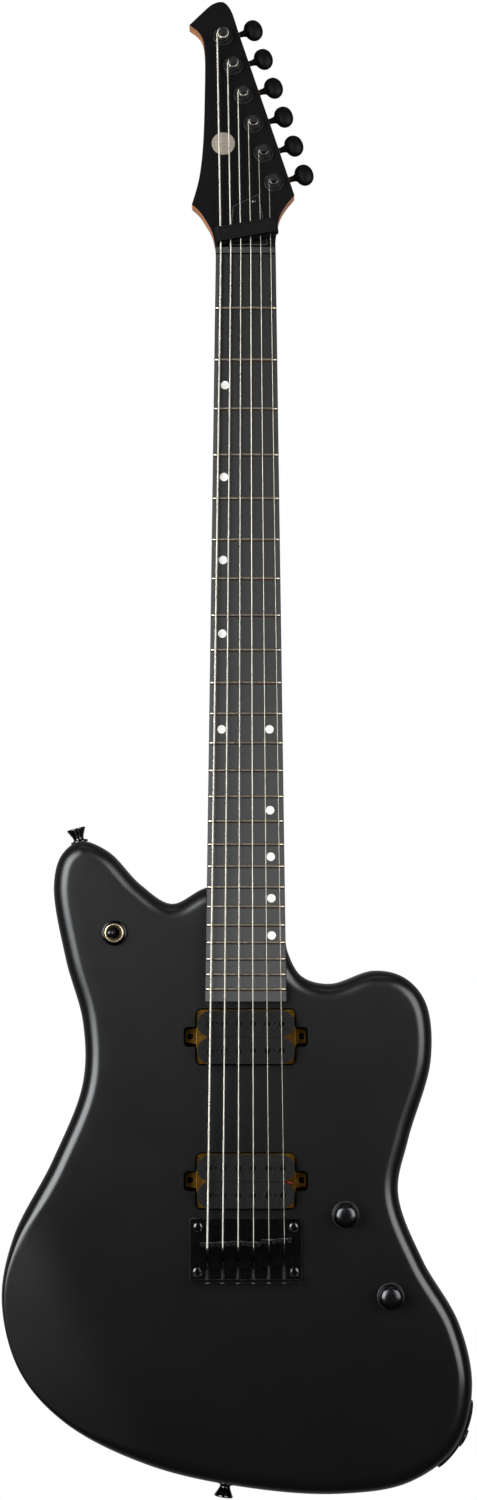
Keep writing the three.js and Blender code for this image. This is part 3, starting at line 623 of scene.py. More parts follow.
# Knob black chrome with a painted highlight on its sharp edges.
KNOB_BLACK = finish("knob_black_chrome", (0.038, 0.038, 0.041), (0.05, 0.05, 0.054), (0.2, 0.26), 80,
                    (1800, 0.05, 0.04), 1.0, edge_highlight=grey(0.2))
SCREW_BLACK = finish("black_screw_steel", (0.10, 0.10, 0.105), (0.17, 0.17, 0.175), (0.16, 0.26), 300,
                     (2000, 0.05, 0.04), 1.0)


# ---- making pieces
def piece(name, part, material, matrix=FROM_NUT, body=ROOT, nodes=(),
          bevel=0.0, segments=2, angle=35, second=None, bevel_material=None):
    """One visible piece. part is (points, faces); second is a material and a test on a face's points."""
    obj = raw_object(name, ([matrix @ p for p in part[0]], part[1]), MM)
    mesh = obj.data
    mesh.materials.append(material)
    if second:
        mesh.materials.append(second[0])
        for polygon in mesh.polygons:
            if second[1]([part[0][i] for i in polygon.vertices]):
                polygon.material_index = 1
    mesh.shade_smooth()
    mesh.set_sharp_from_angle(angle=math.radians(angle))
    if bevel:
        modifier = obj.modifiers.new("bevel", "BEVEL")
        modifier.width, modifier.segments = bevel * MM, segments
        modifier.limit_method, modifier.angle_limit = "ANGLE", math.radians(angle)
        modifier.harden_normals = True
        modifier.use_clamp_overlap = True
        if bevel_material:
            mesh.materials.append(bevel_material)
            modifier.material = len(mesh.materials) - 1
    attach(obj, body)
    if nodes:
        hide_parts(*nodes)


def make_cross_screw():
    """A domed cross-head screw of radius 1 whose seat is y = 0 and whose crown is towards -Y."""
    dome = lathe([(0, 0.25), (0.95, 0.25), (1, 0.1), (1, -0.08), (0.9, -0.28), (0.6, -0.46),
                  (0, -0.55)], 32)
    slots = [prism(box(-x, x, -z, z), -0.9, -0.2) for x, z in ((0.5, 0.1), (0.1, 0.5))]
    return carved(dome, *slots)


CROSS_SCREW = make_cross_screw()


def screw(radius, x, y, z, turn=20, flat=1.0, back=False):
    """A copy of the cross-head screw; back turns its crown towards +Y."""
    matrix = offset(x, y, z)
    if back:
        matrix = matrix @ turned(180, "X")
    matrix = matrix @ turned(turn, "Y")
    return moved(CROSS_SCREW, matrix @ Matrix.Diagonal((radius, radius * flat, radius, 1)))


def socket_screw(radius, top, bottom, x=0.0, z=0.0):
    """A grub screw with a hexagonal socket."""
    outer = lathe([(0, bottom), (radius, bottom), (radius, top + 0.25), (radius - 0.2, top), (0, top)], 24)
    hexagon = prism(disc(radius * 0.55, sides=6), top - 1, top + 1.1)
    return shifted(carved(outer, hexagon), x, 0, z)


# ---- body
FORE_ARM = {
    "x": -88.0, "z": -804.0, "turn": math.radians(24), "slope": math.tan(math.radians(7)), "blend": 16.0,
}
BELLY = {"x": -150.0, "z": -600.0, "turn": math.radians(-15), "across": 92.0, "long": 140.0, "depth": 10.0}


def fore_arm(x, z):
    """How far the front is planed away under the player's arm."""
    f = FORE_ARM
    s = -(x - f["x"]) * math.cos(f["turn"]) - (z - f["z"]) * math.sin(f["turn"])
    if s < -f["blend"]:
        return 0.0
    if s > f["blend"]:
        return f["slope"] * s
    return f["slope"] * (s + f["blend"]) ** 2 / (4 * f["blend"])


def belly(x, z):
    """How deep the back is scooped for the player's ribs."""
    b = BELLY
    dx, dz = x - b["x"], z - b["z"]
    lx = dx * math.cos(b["turn"]) - dz * math.sin(b["turn"])
    lz = dx * math.sin(b["turn"]) + dz * math.cos(b["turn"])
    rho = (lx / b["across"]) ** 2 + (lz / b["long"]) ** 2
    return b["depth"] * (1 - rho) ** 2 if rho < 1 else 0.0


def inside(point, loop):
    hit = False
    for a, b in zip(loop, loop[1:] + loop[:1]):
        if (a.y > point.y) != (b.y > point.y):
            if point.x < (b.x - a.x) * (point.y - a.y) / (b.y - a.y) + a.x:
                hit = not hit
    return hit


def rim_depth(inset, planed):
    """How far the surface lies behind its plane, with the round-over and the planing blended."""
    reach = max(BODY_ROUND - inset, 0)
    drop = BODY_ROUND - math.sqrt(BODY_ROUND ** 2 - reach ** 2)
    blend = min(1.6, 0.8 * planed)
    if blend < 0.01:
        return max(drop, planed)
    near = max(0.0, 1 - abs(drop - planed) / blend)
    return max(drop, planed) + near * near * blend / 4


def body_part():
    """The body without its holes: a skin of rings over the rim, closed by a grid on the front and back."""
    rim = smooth_loop(BODY_RIM, 420)
    steps = 14
    insets = [BODY_ROUND * (1 - math.cos(math.pi / 2 * i / steps)) for i in range(steps + 1)]
    rings = []
    for inset in reversed(insets):
        loop = inward(rim, inset)
        rings.append([Vector((p.x, rim_depth(inset, fore_arm(p.x, p.y)), p.y)) for p in loop])
    for inset in insets:
        loop = inward(rim, inset)
        rings.append([Vector((p.x, BODY_THICKNESS - rim_depth(inset, belly(p.x, p.y)), p.y)) for p in loop])
    points, faces = loft(rings, caps=False)
    count = len(rim)
    inner = inward(rim, BODY_ROUND)
    tree = kdtree.KDTree(count)
    for i, p in enumerate(inner):
        tree.insert((p.x, p.y, 0), i)
    tree.balance()
    step = 7
    grid = [
        Vector((x, z)) for x in range(-175, 165, step) for z in range(-870, -405, step)
        if tree.find((x, z, 0))[2] > 4 and inside(Vector((x, z)), inner)
    ]
    edges = [(i, (i + 1) % count) for i in range(count)]
    flat = geometry.delaunay_2d_cdt(inner + grid, edges, [], 1, 0.0001)
    for side, start in ((0, 0), (1, (len(rings) - 1) * count)):
        index = []
        for i, p in enumerate(flat[0]):
            source = [s for s in flat[3][i] if s < count]
            if source:
                index.append(start + source[0])
                continue
            y = BODY_THICKNESS - belly(p.x, p.y) if side else fore_arm(p.x, p.y)
            index.append(len(points))
            points.append(Vector((p.x, y, p.y)))
        faces += [[index[i] for i in face] for face in flat[2]]
    return points, faces


def rout(z):
    """A humbucker's rout with an ear at each end."""
    a, b, e, h = 35.3, 20.0, 43.4, 7.0
    corners = [
        (-a, -b), (a, -b), (a, -h), (e, -h), (e, h), (a, h), (a, b), (-a, b),
        (-a, h), (-e, h), (-e, -h), (-a, -h),
    ]
    radii = [5, 5, 0.8, 3.5, 3.5, 0.8, 5, 5, 0.8, 3.5, 3.5, 0.8]
    return prism([Vector((p.x, p.y + z)) for p in rounded(corners, radii)], -3, 24)


def make_body():
    pocket = prism([
        (-HALF_WIDTH_END - 0.3, -521.4), (HALF_WIDTH_END + 0.3, -521.4),
        (half_width(-380) + 0.4, -380), (-half_width(-380) - 0.4, -380),
    ], -3, 15.7)
    controls = prism(inward(smooth_loop(CONTROL_CAVITY, 120), -5.4), BODY_THICKNESS - 3, BODY_THICKNESS + 3)
    switch_seat = prism(disc(20.6, *SWITCH, sides=64), BODY_THICKNESS - 3, BODY_THICKNESS + 3)
    jack_bore = moved(rod(10, -6, 34, 32), FROM_NUT.inverted() @ at_jack(JACK_RIM))
    toggle = prism(disc(6.4, *SWITCH), -3, 12)
    low, high = BODY_THICKNESS - 4, BODY_THICKNESS + 2
    ferrules = [prism(disc(4.7, string_x(k, SADDLE_SPREAD), STRING_HOLE_Z, 24), low, high)
                for k in range(STRINGS)]
    holes = [prism(disc(5, x, z, 24), -3, 12) for x, z in KNOBS.values()]
    seat = rod(6.4, -12, 0.2, 32)
    seats = [moved(seat, FROM_NUT.inverted() @ facing(way, x, BODY_THICKNESS / 2, z))
             for way, x, z in STRAP_BUTTONS.values()]
    part = carved(body_part(), pocket, *[rout(z) for z, _ in PICKUPS.values()], controls, switch_seat,
                  jack_bore, toggle, *ferrules, *holes, *seats)
    piece("body_shell", part, SATIN_BLACK, nodes=["body"], bevel=0.45, angle=50)


# ---- neck, board, frets
HEAD_BASS = [
    [(0, -21), (8.5, -21.9), (17, -24), (24.6, -28.1), (31.7, -32.8), (36.6, -38)],
    [(36.6, -38), (45.8, -35.3), (54.7, -33.1), (68, -31.2), (85, -29.9), (112, -29.1), (148, -29),
     (157.6, -30.2), (162.6, -32.3), (166.8, -36.3), (169.5, -40.1)],
    [(169.5, -40.1), (179.3, -30.3), (183.8, -25.5), (186.1, -21.8), (187, -18.6)],
]
HEAD_TREBLE = [
    [(0, 21), (13.4, 21.1), (28, 24), (33, 26.4), (38, 29.8), (43.6, 34.3)],
    [(43.6, 34.3), (84, 21.2), (125, 7.8), (165.8, -5.5), (174.8, -8.2), (179.3, -9.8), (183.6, -12.2),
     (186.4, -15), (187, -16.4)],
]
POSITION_DOTS = [
    (-14.5, -92.6), (-15.2, -157), (-15.9, -215.1), (-16.4, -266.6), (-16.9, -333.4),
    (16.5, -333.4), (16.9, -389.8), (17.4, -422.2), (17.8, -451.1), (18, -477),
]
NECK_DEPTH = [
    (-521, 19), (-452, 19), (-428, 16.8), (-20, 14.3), (-8, 15.4), (4, 16.8), (14, 16.4), (28, 14.5),
    (187, 14.5),
]


def neck_power(v):
    """The back is a superellipse: a low power is a round shaft, a high one a square heel or headstock."""
    if v < -100:
        return mix(12, 2.4, smoothstep(-452, -428, v))
    return mix(2.4, 16, smoothstep(-15, 30, v))


def make_neck():
    bass = [(p.x, p.y) for stretch in HEAD_BASS for p in open_curve(stretch)]
    treble = [(p.x, p.y) for stretch in HEAD_TREBLE for p in open_curve(stretch)]
    stations = [-521, -519.5, -500, -452, -448, -444, -440, -436, -432, -428]
    stations += list(range(-410, -30, 19)) + list(range(-26, 36, 2)) + [36.6] + list(range(38, 43)) + [43.6]
    stations += list(range(46, 169, 3)) + [169.5] + [170 + 0.75 * i for i in range(22)] + [186.7, 187]
    sides = 44
    rings = []
    for v in stations:
        left = -half_width(v) if v < 0 else along(bass, v)
        right = half_width(v) if v < 0 else along(treble, v)
        middle, half = (left + right) / 2, (right - left) / 2
        depth = along(NECK_DEPTH, v) - (1.2 if v in (187, -521) else 0)
        lean = TILT * smoothstep(-12, 12, v)
        face = Vector((0, NECK_FACE, v)) if v < 0 else head_point(0, v, 0)
        power = 2 / neck_power(v)
        ring = []
        for i in range(sides + 1):
            turn = math.pi * i / sides
            c, s = math.cos(turn), math.sin(turn)
            d = depth * abs(s) ** power
            x = middle - half * math.copysign(abs(c) ** power, c)
            ring.append(Vector((x, face.y + d * math.cos(lean), face.z - d * math.sin(lean))))
        rings.append(ring)

    def painted(points):
        flat = [p for p in points if p.z > 3 and p.y < NECK_FACE + (p.z + 1) * math.tan(TILT) + 0.3]
        return len(flat) == len(points)

    piece("neck_and_headstock", loft(rings), MAPLE, nodes=["neck"], bevel=0.5,
          angle=50, second=(HEAD_BLACK, painted))


def make_board():
    def ring(z, shrink=0.0):
        half = half_width(z) - shrink
        out = [Vector((-half, NECK_FACE - 0.2, z)), Vector((half, NECK_FACE - 0.2, z))]
        for i in range(25):
            x = half * (1 - i / 12)
            roll = 0.7 * max(0, 1 - (half - abs(x)) / 1.4) ** 2
            out.append(Vector((x, BOARD_TOP + crown(x) + roll, z)))
        return out

    count = 60
    zs = [-0.2 + (BOARD_END + 0.2) * i / count for i in range(count + 1)]
    piece("ebony_board", loft([ring(z) for z in zs]), EBONY, nodes=["fretboard"],
          bevel=0.35, angle=50)
    places = [fret_z(n) for n in range(1, 25)]

    def shaded_flank(points):
        """The side of a fret towards the bridge, which carries the painted shade."""
        middle = sum((p.z for p in points), 0.0) / len(points)
        return middle < min(places, key=lambda z: abs(z - middle)) - 0.5

    # The bridge-side flanks of the frets carry the painted shade.
    piece("fret_wires", merged(*[fret(z) for z in places]), FRET_METAL, angle=60,
          second=(FRET_SHADE, shaded_flank))
    inlay = lathe([(0, -0.08), (1.2, -0.08), (2.2, -0.08), (2.9, -0.08), (3.0, 0.1), (3.0, 0.6),
                   (0, 0.6)], 32)
    points, faces = merged(*[shifted(inlay, x, BOARD_TOP, z) for x, z in POSITION_DOTS])
    points = [p + Vector((0, crown(p.x), 0)) for p in points]
    piece("position_dots", (points, faces), PEARL, angle=60)


def fret(z):
    """A half-round wire over the crown of the board with bevelled ends."""
    half = half_width(z) - 0.15
    stations = [(-half, 0.55), (-half + 0.6, 1)] + [(half * i / 7, 1) for i in range(-6, 7)]
    stations += [(half - 0.6, 1), (half, 0.55)]
    turns = [math.pi * j / 10 for j in range(11)]
    rings = []
    for x, size in stations:
        base, tall, wide = BOARD_TOP + crown(x) + 0.1, 1.15 * size, 1.2 * size
        rings.append([Vector((x, base - tall * math.sin(t), z + wide * math.cos(t))) for t in turns])
    return loft(rings)


def make_nut():
    half = HALF_WIDTH_NUT - 0.1
    outline = [(-half, NECK_FACE - 0.2), (-half, BOARD_TOP + crown(half) - 2.1)]
    for k in range(STRINGS):
        x, r = string_x(k, NUT_SPREAD), STRING_DIAMETERS[k] / 2
        crest, floor = BOARD_TOP + crown(x) - 2.1, BOARD_TOP + crown(x) - 1.55
        wide, narrow = r + 0.12, r * 0.7
        outline += [(x - wide, crest), (x - narrow, floor), (x + narrow, floor), (x + wide, crest)]
    outline += [(half, BOARD_TOP + crown(half) - 2.1), (half, NECK_FACE - 0.2)]
    rings = [[Vector((x, y, z)) for x, y in outline] for z in (0.05, 4.15)]
    piece("graphite_nut_block", loft(rings), GRAPHITE, nodes=["nut"], bevel=0.18, angle=40)


# ---- strings and tuners
def make_strings():
    for k in range(STRINGS):
        r = STRING_DIAMETERS[k] / 2
        u, v = post_at(k)
        at_nut, at_saddle = string_x(k, NUT_SPREAD), string_x(k, SADDLE_SPREAD)
        nut_y = BOARD_TOP + crown(at_nut) - 1.6 - r
        saddle_y = SADDLE_STRING_Y + crown(at_saddle) - r
        dive = SADDLE_FRONTS[k] - STRING_DIVE
        path = bent([
            head_point(u - 3.3 - r, v, 6.2),
            Vector((at_nut, nut_y, 3.6)),
            Vector((at_nut, nut_y, 0.4)),
            Vector((at_saddle, saddle_y, dive + 0.5)),
            Vector((at_saddle, saddle_y + 0.6, dive - 0.8)),
            Vector((at_saddle, -3.5, STRING_HOLE_Z + 0.8)),
            Vector((at_saddle, 0, STRING_HOLE_Z)),
            Vector((at_saddle, 40.5, STRING_HOLE_Z)),
        ], 1.2, 4)
        material = WOUND_STRING if k < 3 else PLAIN_STRING
        piece(f"string_wire_{k + 1}", tube(path, r, 14), material, nodes=[f"string_{k + 1}"],
              angle=60)
        turns = 2.2 if k < 2 else 3.2
        steps = int(turns * 28)
        bottom = 5.0 + r
        coil = []
        for i in range(steps + 1):
            a = math.pi + 2 * math.pi * turns * i / steps
            h = bottom + 2 * r * 1.04 * turns * (1 - i / steps)
            coil.append(Vector(((2.75 + r) * math.cos(a), -min(h, 8.6), (2.75 + r) * math.sin(a))))
        piece(f"string_winding_{k + 1}", tube(coil, r, 10), material, tuner_frame(k), f"tuner_post_{k + 1}",
              angle=60)


def make_tuners():
    casing = prism(rounded(box(-7, 8.5, -7, 9), [3, 3, 3, 5], 8), 15.6, 25.4)
    plate = prism(rounded(box(-8, 8.9, -8, 9.8), [3.4, 3.4, 3.4, 6], 8), 14.8, 15.8)
    gear_cap = lathe([(0, 25.2), (3.4, 25.2), (3.4, 26.1), (2.9, 26.5), (0, 26.5)], 40)
    cap_screw = screw(2.1, 0, 26.4, 0, 35, 0.9, back=True)
    collar = moved(ring_lathe([(1.8, -8.2), (3.6, -8.2), (3.8, -8.5), (3.8, -9.0), (1.8, -9.0)], 32),
                   offset(*WORM) @ turned(90, "Z"))
    washer = ring_lathe([(4.4, -0.3), (7, -0.3), (7, -0.75), (6.6, -1.15), (4.4, -1.15)], 48)
    hexagon = carved(prism(disc(5.7, sides=6), -3.2, -1.1), prism(disc(3.3), -4, 0))
    dome = ring_lathe([(3.35, -1.2), (4.75, -3.0), (4.75, -3.5), (4.4, -4.1), (3.35, -4.25)], 40)
    post = lathe([(0, 22), (2.8, 22), (2.8, 16.5), (3, 14), (3, -4.4), (2.75, -4.7), (2.55, -5.2),
                  (2.5, -6.6), (2.55, -8.2), (2.8, -8.7), (3, -8.9), (3, -11.3), (2.85, -11.75), (2.5, -12),
                  (0, -12)], 40)
    for k in range(STRINGS):
        n = k + 1
        frame_k = tuner_frame(k)
        post_body, key_body = f"tuner_post_{n}", f"tuner_button_{n}"
        piece(f"tuner_casing_{n}", merged(casing, plate), SATIN_HARDWARE, frame_k,
              nodes=[f"tuner_housing_{n}"], bevel=0.6, segments=3)
        piece(f"tuner_cap_{n}", merged(gear_cap, cap_screw, collar), GLOSS_BLACK, frame_k)
        piece(f"tuner_nut_{n}", merged(washer, hexagon, dome), SATIN_HARDWARE, frame_k, bevel=0.25)
        piece(f"tuner_spindle_{n}", post, MATTE_PLASTIC, frame_k, post_body, nodes=[post_body])
        piece(f"tuner_key_{n}", key_part(), KEY_BLACK, frame_k, key_body, nodes=[key_body])


def key_part():
    """An egg-shaped grip on a stem with its worm shaft, along X."""
    stem = moved(lathe([(0, -5), (1.5, -5), (1.5, 9.2), (2.9, 9.25), (3.1, 9.6), (3.1, 10.8), (2.7, 11.3),
                        (2.1, 12.6), (2.0, 14.5), (2.3, 16.8), (3.2, 18.8), (4.2, 20.5), (0, 20.5)], 32),
                 offset(*WORM) @ turned(-90, "Z"))
    rows, columns = 20, 36
    rings = []
    for i in range(rows + 1):
        lat = math.pi * i / rows - math.pi / 2
        x, across = math.sin(lat), math.cos(lat) ** 0.92
        ring = []
        for j in range(columns):
            lon = 2 * math.pi * j / columns
            z = across * math.sin(lon)
            y = across * math.copysign(abs(math.cos(lon)) ** 0.85, math.cos(lon))
            fuller = 1 + 0.06 * z * (1 - x) * 0.5
            ring.append(Vector((24.3 + 6.6 * x * fuller, WORM[1] + 3.9 * y, WORM[2] + 7.9 * z)))
        rings.append(ring)
    return merged(stem, loft(rings, caps=False))


# ---- headstock trim
def make_head_trim():
    outline = rounded([(-12, 6.5), (15.5, 6.5), (9.2, 44), (-9, 35)], [1.5, 1.5, 1.2, 1.2])
    piece("rod_cover_plate", prism(outline, -1.9, -0.15), KEY_BLACK, HEAD,
          nodes=["truss_rod_cover"], bevel=0.45, segments=2, bevel_material=COVER_EDGE)
    piece("rod_cover_screw", screw(1.7, 5.7, -1.85, 38.5, 30), GLOSS_BLACK, HEAD)
    ringed = [(0, -0.12), (3.0, -0.12), (3.1, 0.0), (3.5, 0.0), (3.6, -0.12), (6.2, -0.12), (6.3, 0.0),
              (6.7, 0.0), (6.8, -0.12), (8.1, -0.12), (8.3, 0.1), (0, 0.1)]
    piece("plain_head_disc", lathe(ringed, 72), INLAY, HEAD @ offset(-15.8, 0, 81.6),
          angle=30)
    bar_frame = HEAD @ offset(0, 0, 14.8) @ turned(-10.3, "Y")
    ring = rounded(box(-21.3, 22.4, -12.6, -3.2), 2.5)
    bar = loft([[Vector((p.x, p.y, z)) for p in ring] for z in (-5.2, 5.2)])
    opening = prism(box(-20.2, 20.8, -30, 30), -9.9, -6.4)
    recess = prism(rounded(box(-19.3, 20.4, -3.6, 3.6), 1.4), -14, -12.15)
    bar = carved(bar, opening, recess)
    pad = prism(rounded(box(-19.3, 20.4, -6.4, -5.0), 0.3), -6, -3.2)
    ribs = [prism(box(x, x + 0.7, -6.5, -5.1), -6.4, -3.0) for x in [-18 + 1.45 * i for i in range(26)]]
    piece("damper_band", merged(bar, pad, *ribs), RUBBER, bar_frame, nodes=["string_damper"],
          bevel=0.3, segments=3)


# ---- pickups
def stadium(z, half, radius, sides=24):
    """An outline along X with round ends."""
    right = [Vector((half - radius + radius * math.cos(a), z + radius * math.sin(a)))
             for a in [math.pi * (i / sides - 0.5) for i in range(sides + 1)]]
    return right + [Vector((-p.x, 2 * z - p.y)) for p in right]


def make_pickups():
    for name, (centre, pitch) in PICKUPS.items():
        base = FROM_NUT @ offset(0, 0, centre)
        plate = prism(rounded_box(34.6, -19, 19, 3), 3.2, 4.4)
        fold = [(33.2, 3.4), (33.2, 9.2), (34.2, 10.4), (41.9, 10.4), (41.9, 11.4), (33.8, 11.4),
                (32.2, 9.8), (32.2, 3.4)]
        rings = []
        for z in (-5.8, -5.2, 5.2, 5.8):
            pull = [1.6 * max(0.0, (x - 38) / 4) if abs(z) > 5.5 else 0 for x, y in fold]
            rings.append([Vector((-x, y, z - math.copysign(inset, z)))
                          for (x, y), inset in zip(fold, pull)])
        ear = carved(loft(rings), prism(disc(2.2, -PICKUP_SCREW_X, 0, 24), 5, 14))
        tabs = [ear, moved(ear, Matrix.Diagonal((-1, 1, 1, 1)))]
        piece(f"{name}_pickup_brass", merged(plate, *tabs), BRASS, base,
              nodes=[f"{name}_pickup_baseplate"], bevel=0.2)
        screws = [screw(2.3, side * PICKUP_SCREW_X, 10.9, 0, 10 + 40 * side, 0.7) for side in (-1, 1)]
        piece(f"{name}_pickup_screws", merged(*screws), KEY_BLACK, base)
        flanges, coils, poles = [], [], []
        for side in (-1, 1):
            z = side * 9.35
            top = prism(stadium(z, 33.8, 9.1), -8.5, -6.5)
            xs = [string_x(k, pitch * 5) for k in range(STRINGS)]
            between = ((xs[0] + xs[1]) / 2, (xs[4] + xs[5]) / 2)
            drills = [prism(disc(2.35, x, z, 24), -9, -6) for x in xs]
            drills += [prism(disc(0.95, x, z, 16), -9, -6.9) for x in between]
            flanges.append(carved(top, *drills))
            flanges.append(prism(stadium(z, 33.6, 9.0), 1.2, 2.6))
            coils.append(prism(stadium(z * 0.98, 32.2, 8.0), -6.6, 1.4))
            poles += [socket_screw(2.2, -8.75, 2.4, x, z) for x in xs]
        spacer = prism(rounded_box(25, -12, 12, 1), 1.2, 2.9)
        # The flanges' bevels carry the painted highlight.
        piece(f"{name}_pickup_flanges", merged(*flanges, spacer), BOBBIN, base,
              nodes=[f"{name}_pickup_bobbins"], bevel=0.35, bevel_material=BOBBIN_HIGHLIGHT)
        piece(f"{name}_pickup_coils", merged(*coils), TAPE, base, bevel=0.5)
        piece(f"{name}_pickup_poles", merged(*poles), GLOSS_BLACK, base)
    wire = bent([Vector((25, 0.5, -648.6)), Vector((29, -3.5, -648.6)), Vector((32, -2.5, -649.4)),
                 Vector((33.4, 2.5, -650.2))], 1.4)
    piece("pickup_lead_wire", tube(wire, 0.6, 12), RED_WIRE)


# ---- bridge
# The mounting screws' X, Z and turn in degrees, and the height screws' place in each saddle.
BRIDGE_SCREWS = ((-33.3, -679.6, 15), (33.3, -679.6, 60), (-33.7, -710.6, 40), (33.7, -710.6, 5))
WELLS = ((-3.4, -2.1), (3.4, -2.1))
# The plate's rear lip holds the intonation screws. Each thread starts THREAD_START behind its saddle's front.
LIP_Z = -716.5
SCREW_HEAD_Z = -718.2
THREAD_START = 14.6
THREAD_END = -719.0
THREAD_STEP = 0.35


def make_bridge():
    plate = prism(rounded_box(38.8, -717.6, -673.6, 2.2), -2.8, -0.3)
    lip = prism(rounded_box(38.8, -717.6, -715.4, 0.8), -10, -2.6)
    holes = [prism(disc(1.7, string_x(k, SADDLE_SPREAD), STRING_HOLE_Z, 24), -5, 3) for k in range(STRINGS)]
    seats = [prism(disc(3.2, x, z, 32), -5, -2.2) for x, z, t in BRIDGE_SCREWS]
    turn = turned(90, "X")
    lip_holes = [moved(prism(disc(1.6, string_x(k, SADDLE_SPREAD), -INTONATION_Y, 20), -5, 5),
                       offset(0, 0, LIP_Z) @ turn) for k in range(STRINGS)]
    # The plate's bevels carry the painted highlight.
    piece("bridge_base", merged(carved(plate, *holes, *seats), carved(lip, *lip_holes)), GLOSS_BLACK,
          nodes=["bridge_plate"], bevel=0.35, bevel_material=RIM_HIGHLIGHT)
    mounts = [screw(3.0, x, -2.4, z, t, 0.42) for x, z, t in BRIDGE_SCREWS]
    piece("bridge_mounting_screws", merged(*mounts), GLOSS_BLACK)
    for k in range(STRINGS):
        x, front = string_x(k, SADDLE_SPREAD), SADDLE_FRONTS[k]
        crest = SADDLE_STRING_Y + crown(x) + 0.3
        side = [(0, -3.1), (0, crest + 1.6), (-0.25, crest + 0.6), (-0.9, crest + 0.05), (-1.6, crest),
                (-4, crest + 0.8), (0.9 - SADDLE_LENGTH, crest + 3.5), (0.3 - SADDLE_LENGTH, crest + 4.2),
                (-SADDLE_LENGTH, crest + 5.2), (-SADDLE_LENGTH, -3.1)]
        block = loft([[Vector((px, y, z)) for z, y in side] for px in (-5.1, 5.1)])
        slot = rounded([(-2.0, -17.2), (2.0, -17.2), (1.5, -2.2), (-1.5, -2.2)], [1.9, 1.9, 0.4, 0.4])
        bore = moved(rod(1.55, -8, 8, 20), offset(0, INTONATION_Y, -20.6) @ turn)
        wells = [prism(disc(1.75, *place, 24), -20, crest + 1.0) for place in WELLS]
        frame_k, saddle = FROM_NUT @ offset(x, 0, front), f"saddle_{k + 1}"
        piece(f"saddle_block_{k + 1}", carved(block, prism(slot, -20, 5), bore, *wells), GLOSS_BLACK,
              frame_k, saddle, nodes=[saddle], bevel=0.3, angle=40)
        grubs = [socket_screw(1.55, crest - 0.5, crest + 2.5, *place) for place in WELLS]
        piece(f"saddle_height_screws_{k + 1}", merged(*grubs), SCREW_BLACK, frame_k, saddle)
        start = front - THREAD_START
        steps = int(abs(THREAD_END - start) / THREAD_STEP)
        thread = [(1.28 if i % 2 else 0.98, i * THREAD_STEP) for i in range(steps + 1)]
        shank = lathe([(0, 0)] + thread + [(0, thread[-1][1])], 20)
        shank = moved(shank, offset(x, INTONATION_Y, start) @ turned(-90, "X"))
        head = moved(screw(2.1, 0, 0, 0, 25 + 30 * k, 0.9), offset(x, INTONATION_Y, SCREW_HEAD_Z) @ turn)
        piece(f"intonation_screw_{k + 1}", merged(shank, head), SCREW_BLACK)


# ---- controls
def on_skirt_highlight(points):
    """Says which of the knob's faces, on the rim of its skirt, get the painted highlight."""
    return all(math.hypot(p.x, p.z) > 9.0 and p.y < -1.9 for p in points)


def make_controls():
    dome = open_curve([(1.2, -16.39), (3.2, -16.28), (5.0, -15.95), (6.4, -15.4), (7.5, -14.5),
                       (8.2, -13.3), (8.55, -11.7), (8.66, -8)], 4)
    knob = lathe([(0, -16.4)] + [tuple(p) for p in dome] + [
        (8.7, -3.4), (8.8, -2.7), (9.1, -2.4), (9.3, -2.0), (9.3, -0.95), (9.1, -0.7), (7.2, -0.7),
        (7.2, -4.8), (3, -4.8), (3, 16), (0, 16)], 72)
    pot = ring_lathe([(3.3, -3.6), (4.6, -3.6), (4.6, -2.8), (6, -2.8), (6, -0.3), (4.6, -0.3), (4.6, 9.5),
                      (12, 9.5), (12, 20), (3.3, 20)], 40)
    for name, (x, z) in KNOBS.items():
        at = FROM_NUT @ offset(x, 0, z)
        # The rim of each knob's skirt carries the painted highlight.
        piece(f"{name}_knob_cap", knob, KNOB_BLACK, at, f"{name}_knob",
              nodes=[f"{name}_knob"], angle=40, second=(RIM_HIGHLIGHT, on_skirt_highlight))
        piece(f"{name}_pot_case", pot, NICKEL, at, nodes=[f"{name}_pot"], bevel=0.3)
    x, z = SWITCH
    at = FROM_NUT @ offset(x, 0, z)
    ring = ring_lathe([(6.9, -0.3), (8.7, -0.3), (8.7, -2.0), (8.45, -2.7), (7.9, -3.05), (6.9, -3.1)], 60)
    notches = [prism(disc(0.75, 8.95 * math.cos(a), 8.95 * math.sin(a), 12), -5, -0.9)
               for a in [math.pi * (i + 0.5) / 3 for i in range(6)]]
    case = ring_lathe([(6.0, 0.5), (6, 9), (11, 9), (11, 30), (2.2, 30), (2.2, 19), (4.9, 17),
                       (4.9, 0.5)], 32)
    piece("switch_ring_and_case", merged(carved(ring, *notches), case), NUT_BLACK, at,
          nodes=["switch_body"], bevel=0.2)
    crests = [(mix(5.1, 3.9, i / 12) - (0.3 if i % 2 else 0), -3.4 + 0.4 * i) for i in range(13)]
    bush = ring_lathe([(6.75, 1.6), (6.75, -3.4), (6.55, -3.95), (6.1, -4.2), (5.6, -4.1), (5.3, -3.8)]
                      + crests, 60)
    piece("switch_bushing", bush, BUSHING, at, angle=50)
    lever = lathe([(0, 14), (1.5, 14), (1.6, 12), (1.6, -9.6), (2.0, -10.2), (2.7, -11.1), (3.1, -12.4),
                   (3.1, -13.7), (2.8, -14.8), (2.1, -15.7), (1.1, -16.15), (0, -16.2)], 36)
    pivot = offset(0, SWITCH_PIVOT, 0)
    leaning = at @ pivot @ Matrix.Rotation(SWITCH_LEAN, 4, "Z") @ pivot.inverted()
    piece("switch_tip", lever, LEVER_BLACK, leaning, "switch_lever",
          nodes=["switch_lever"])


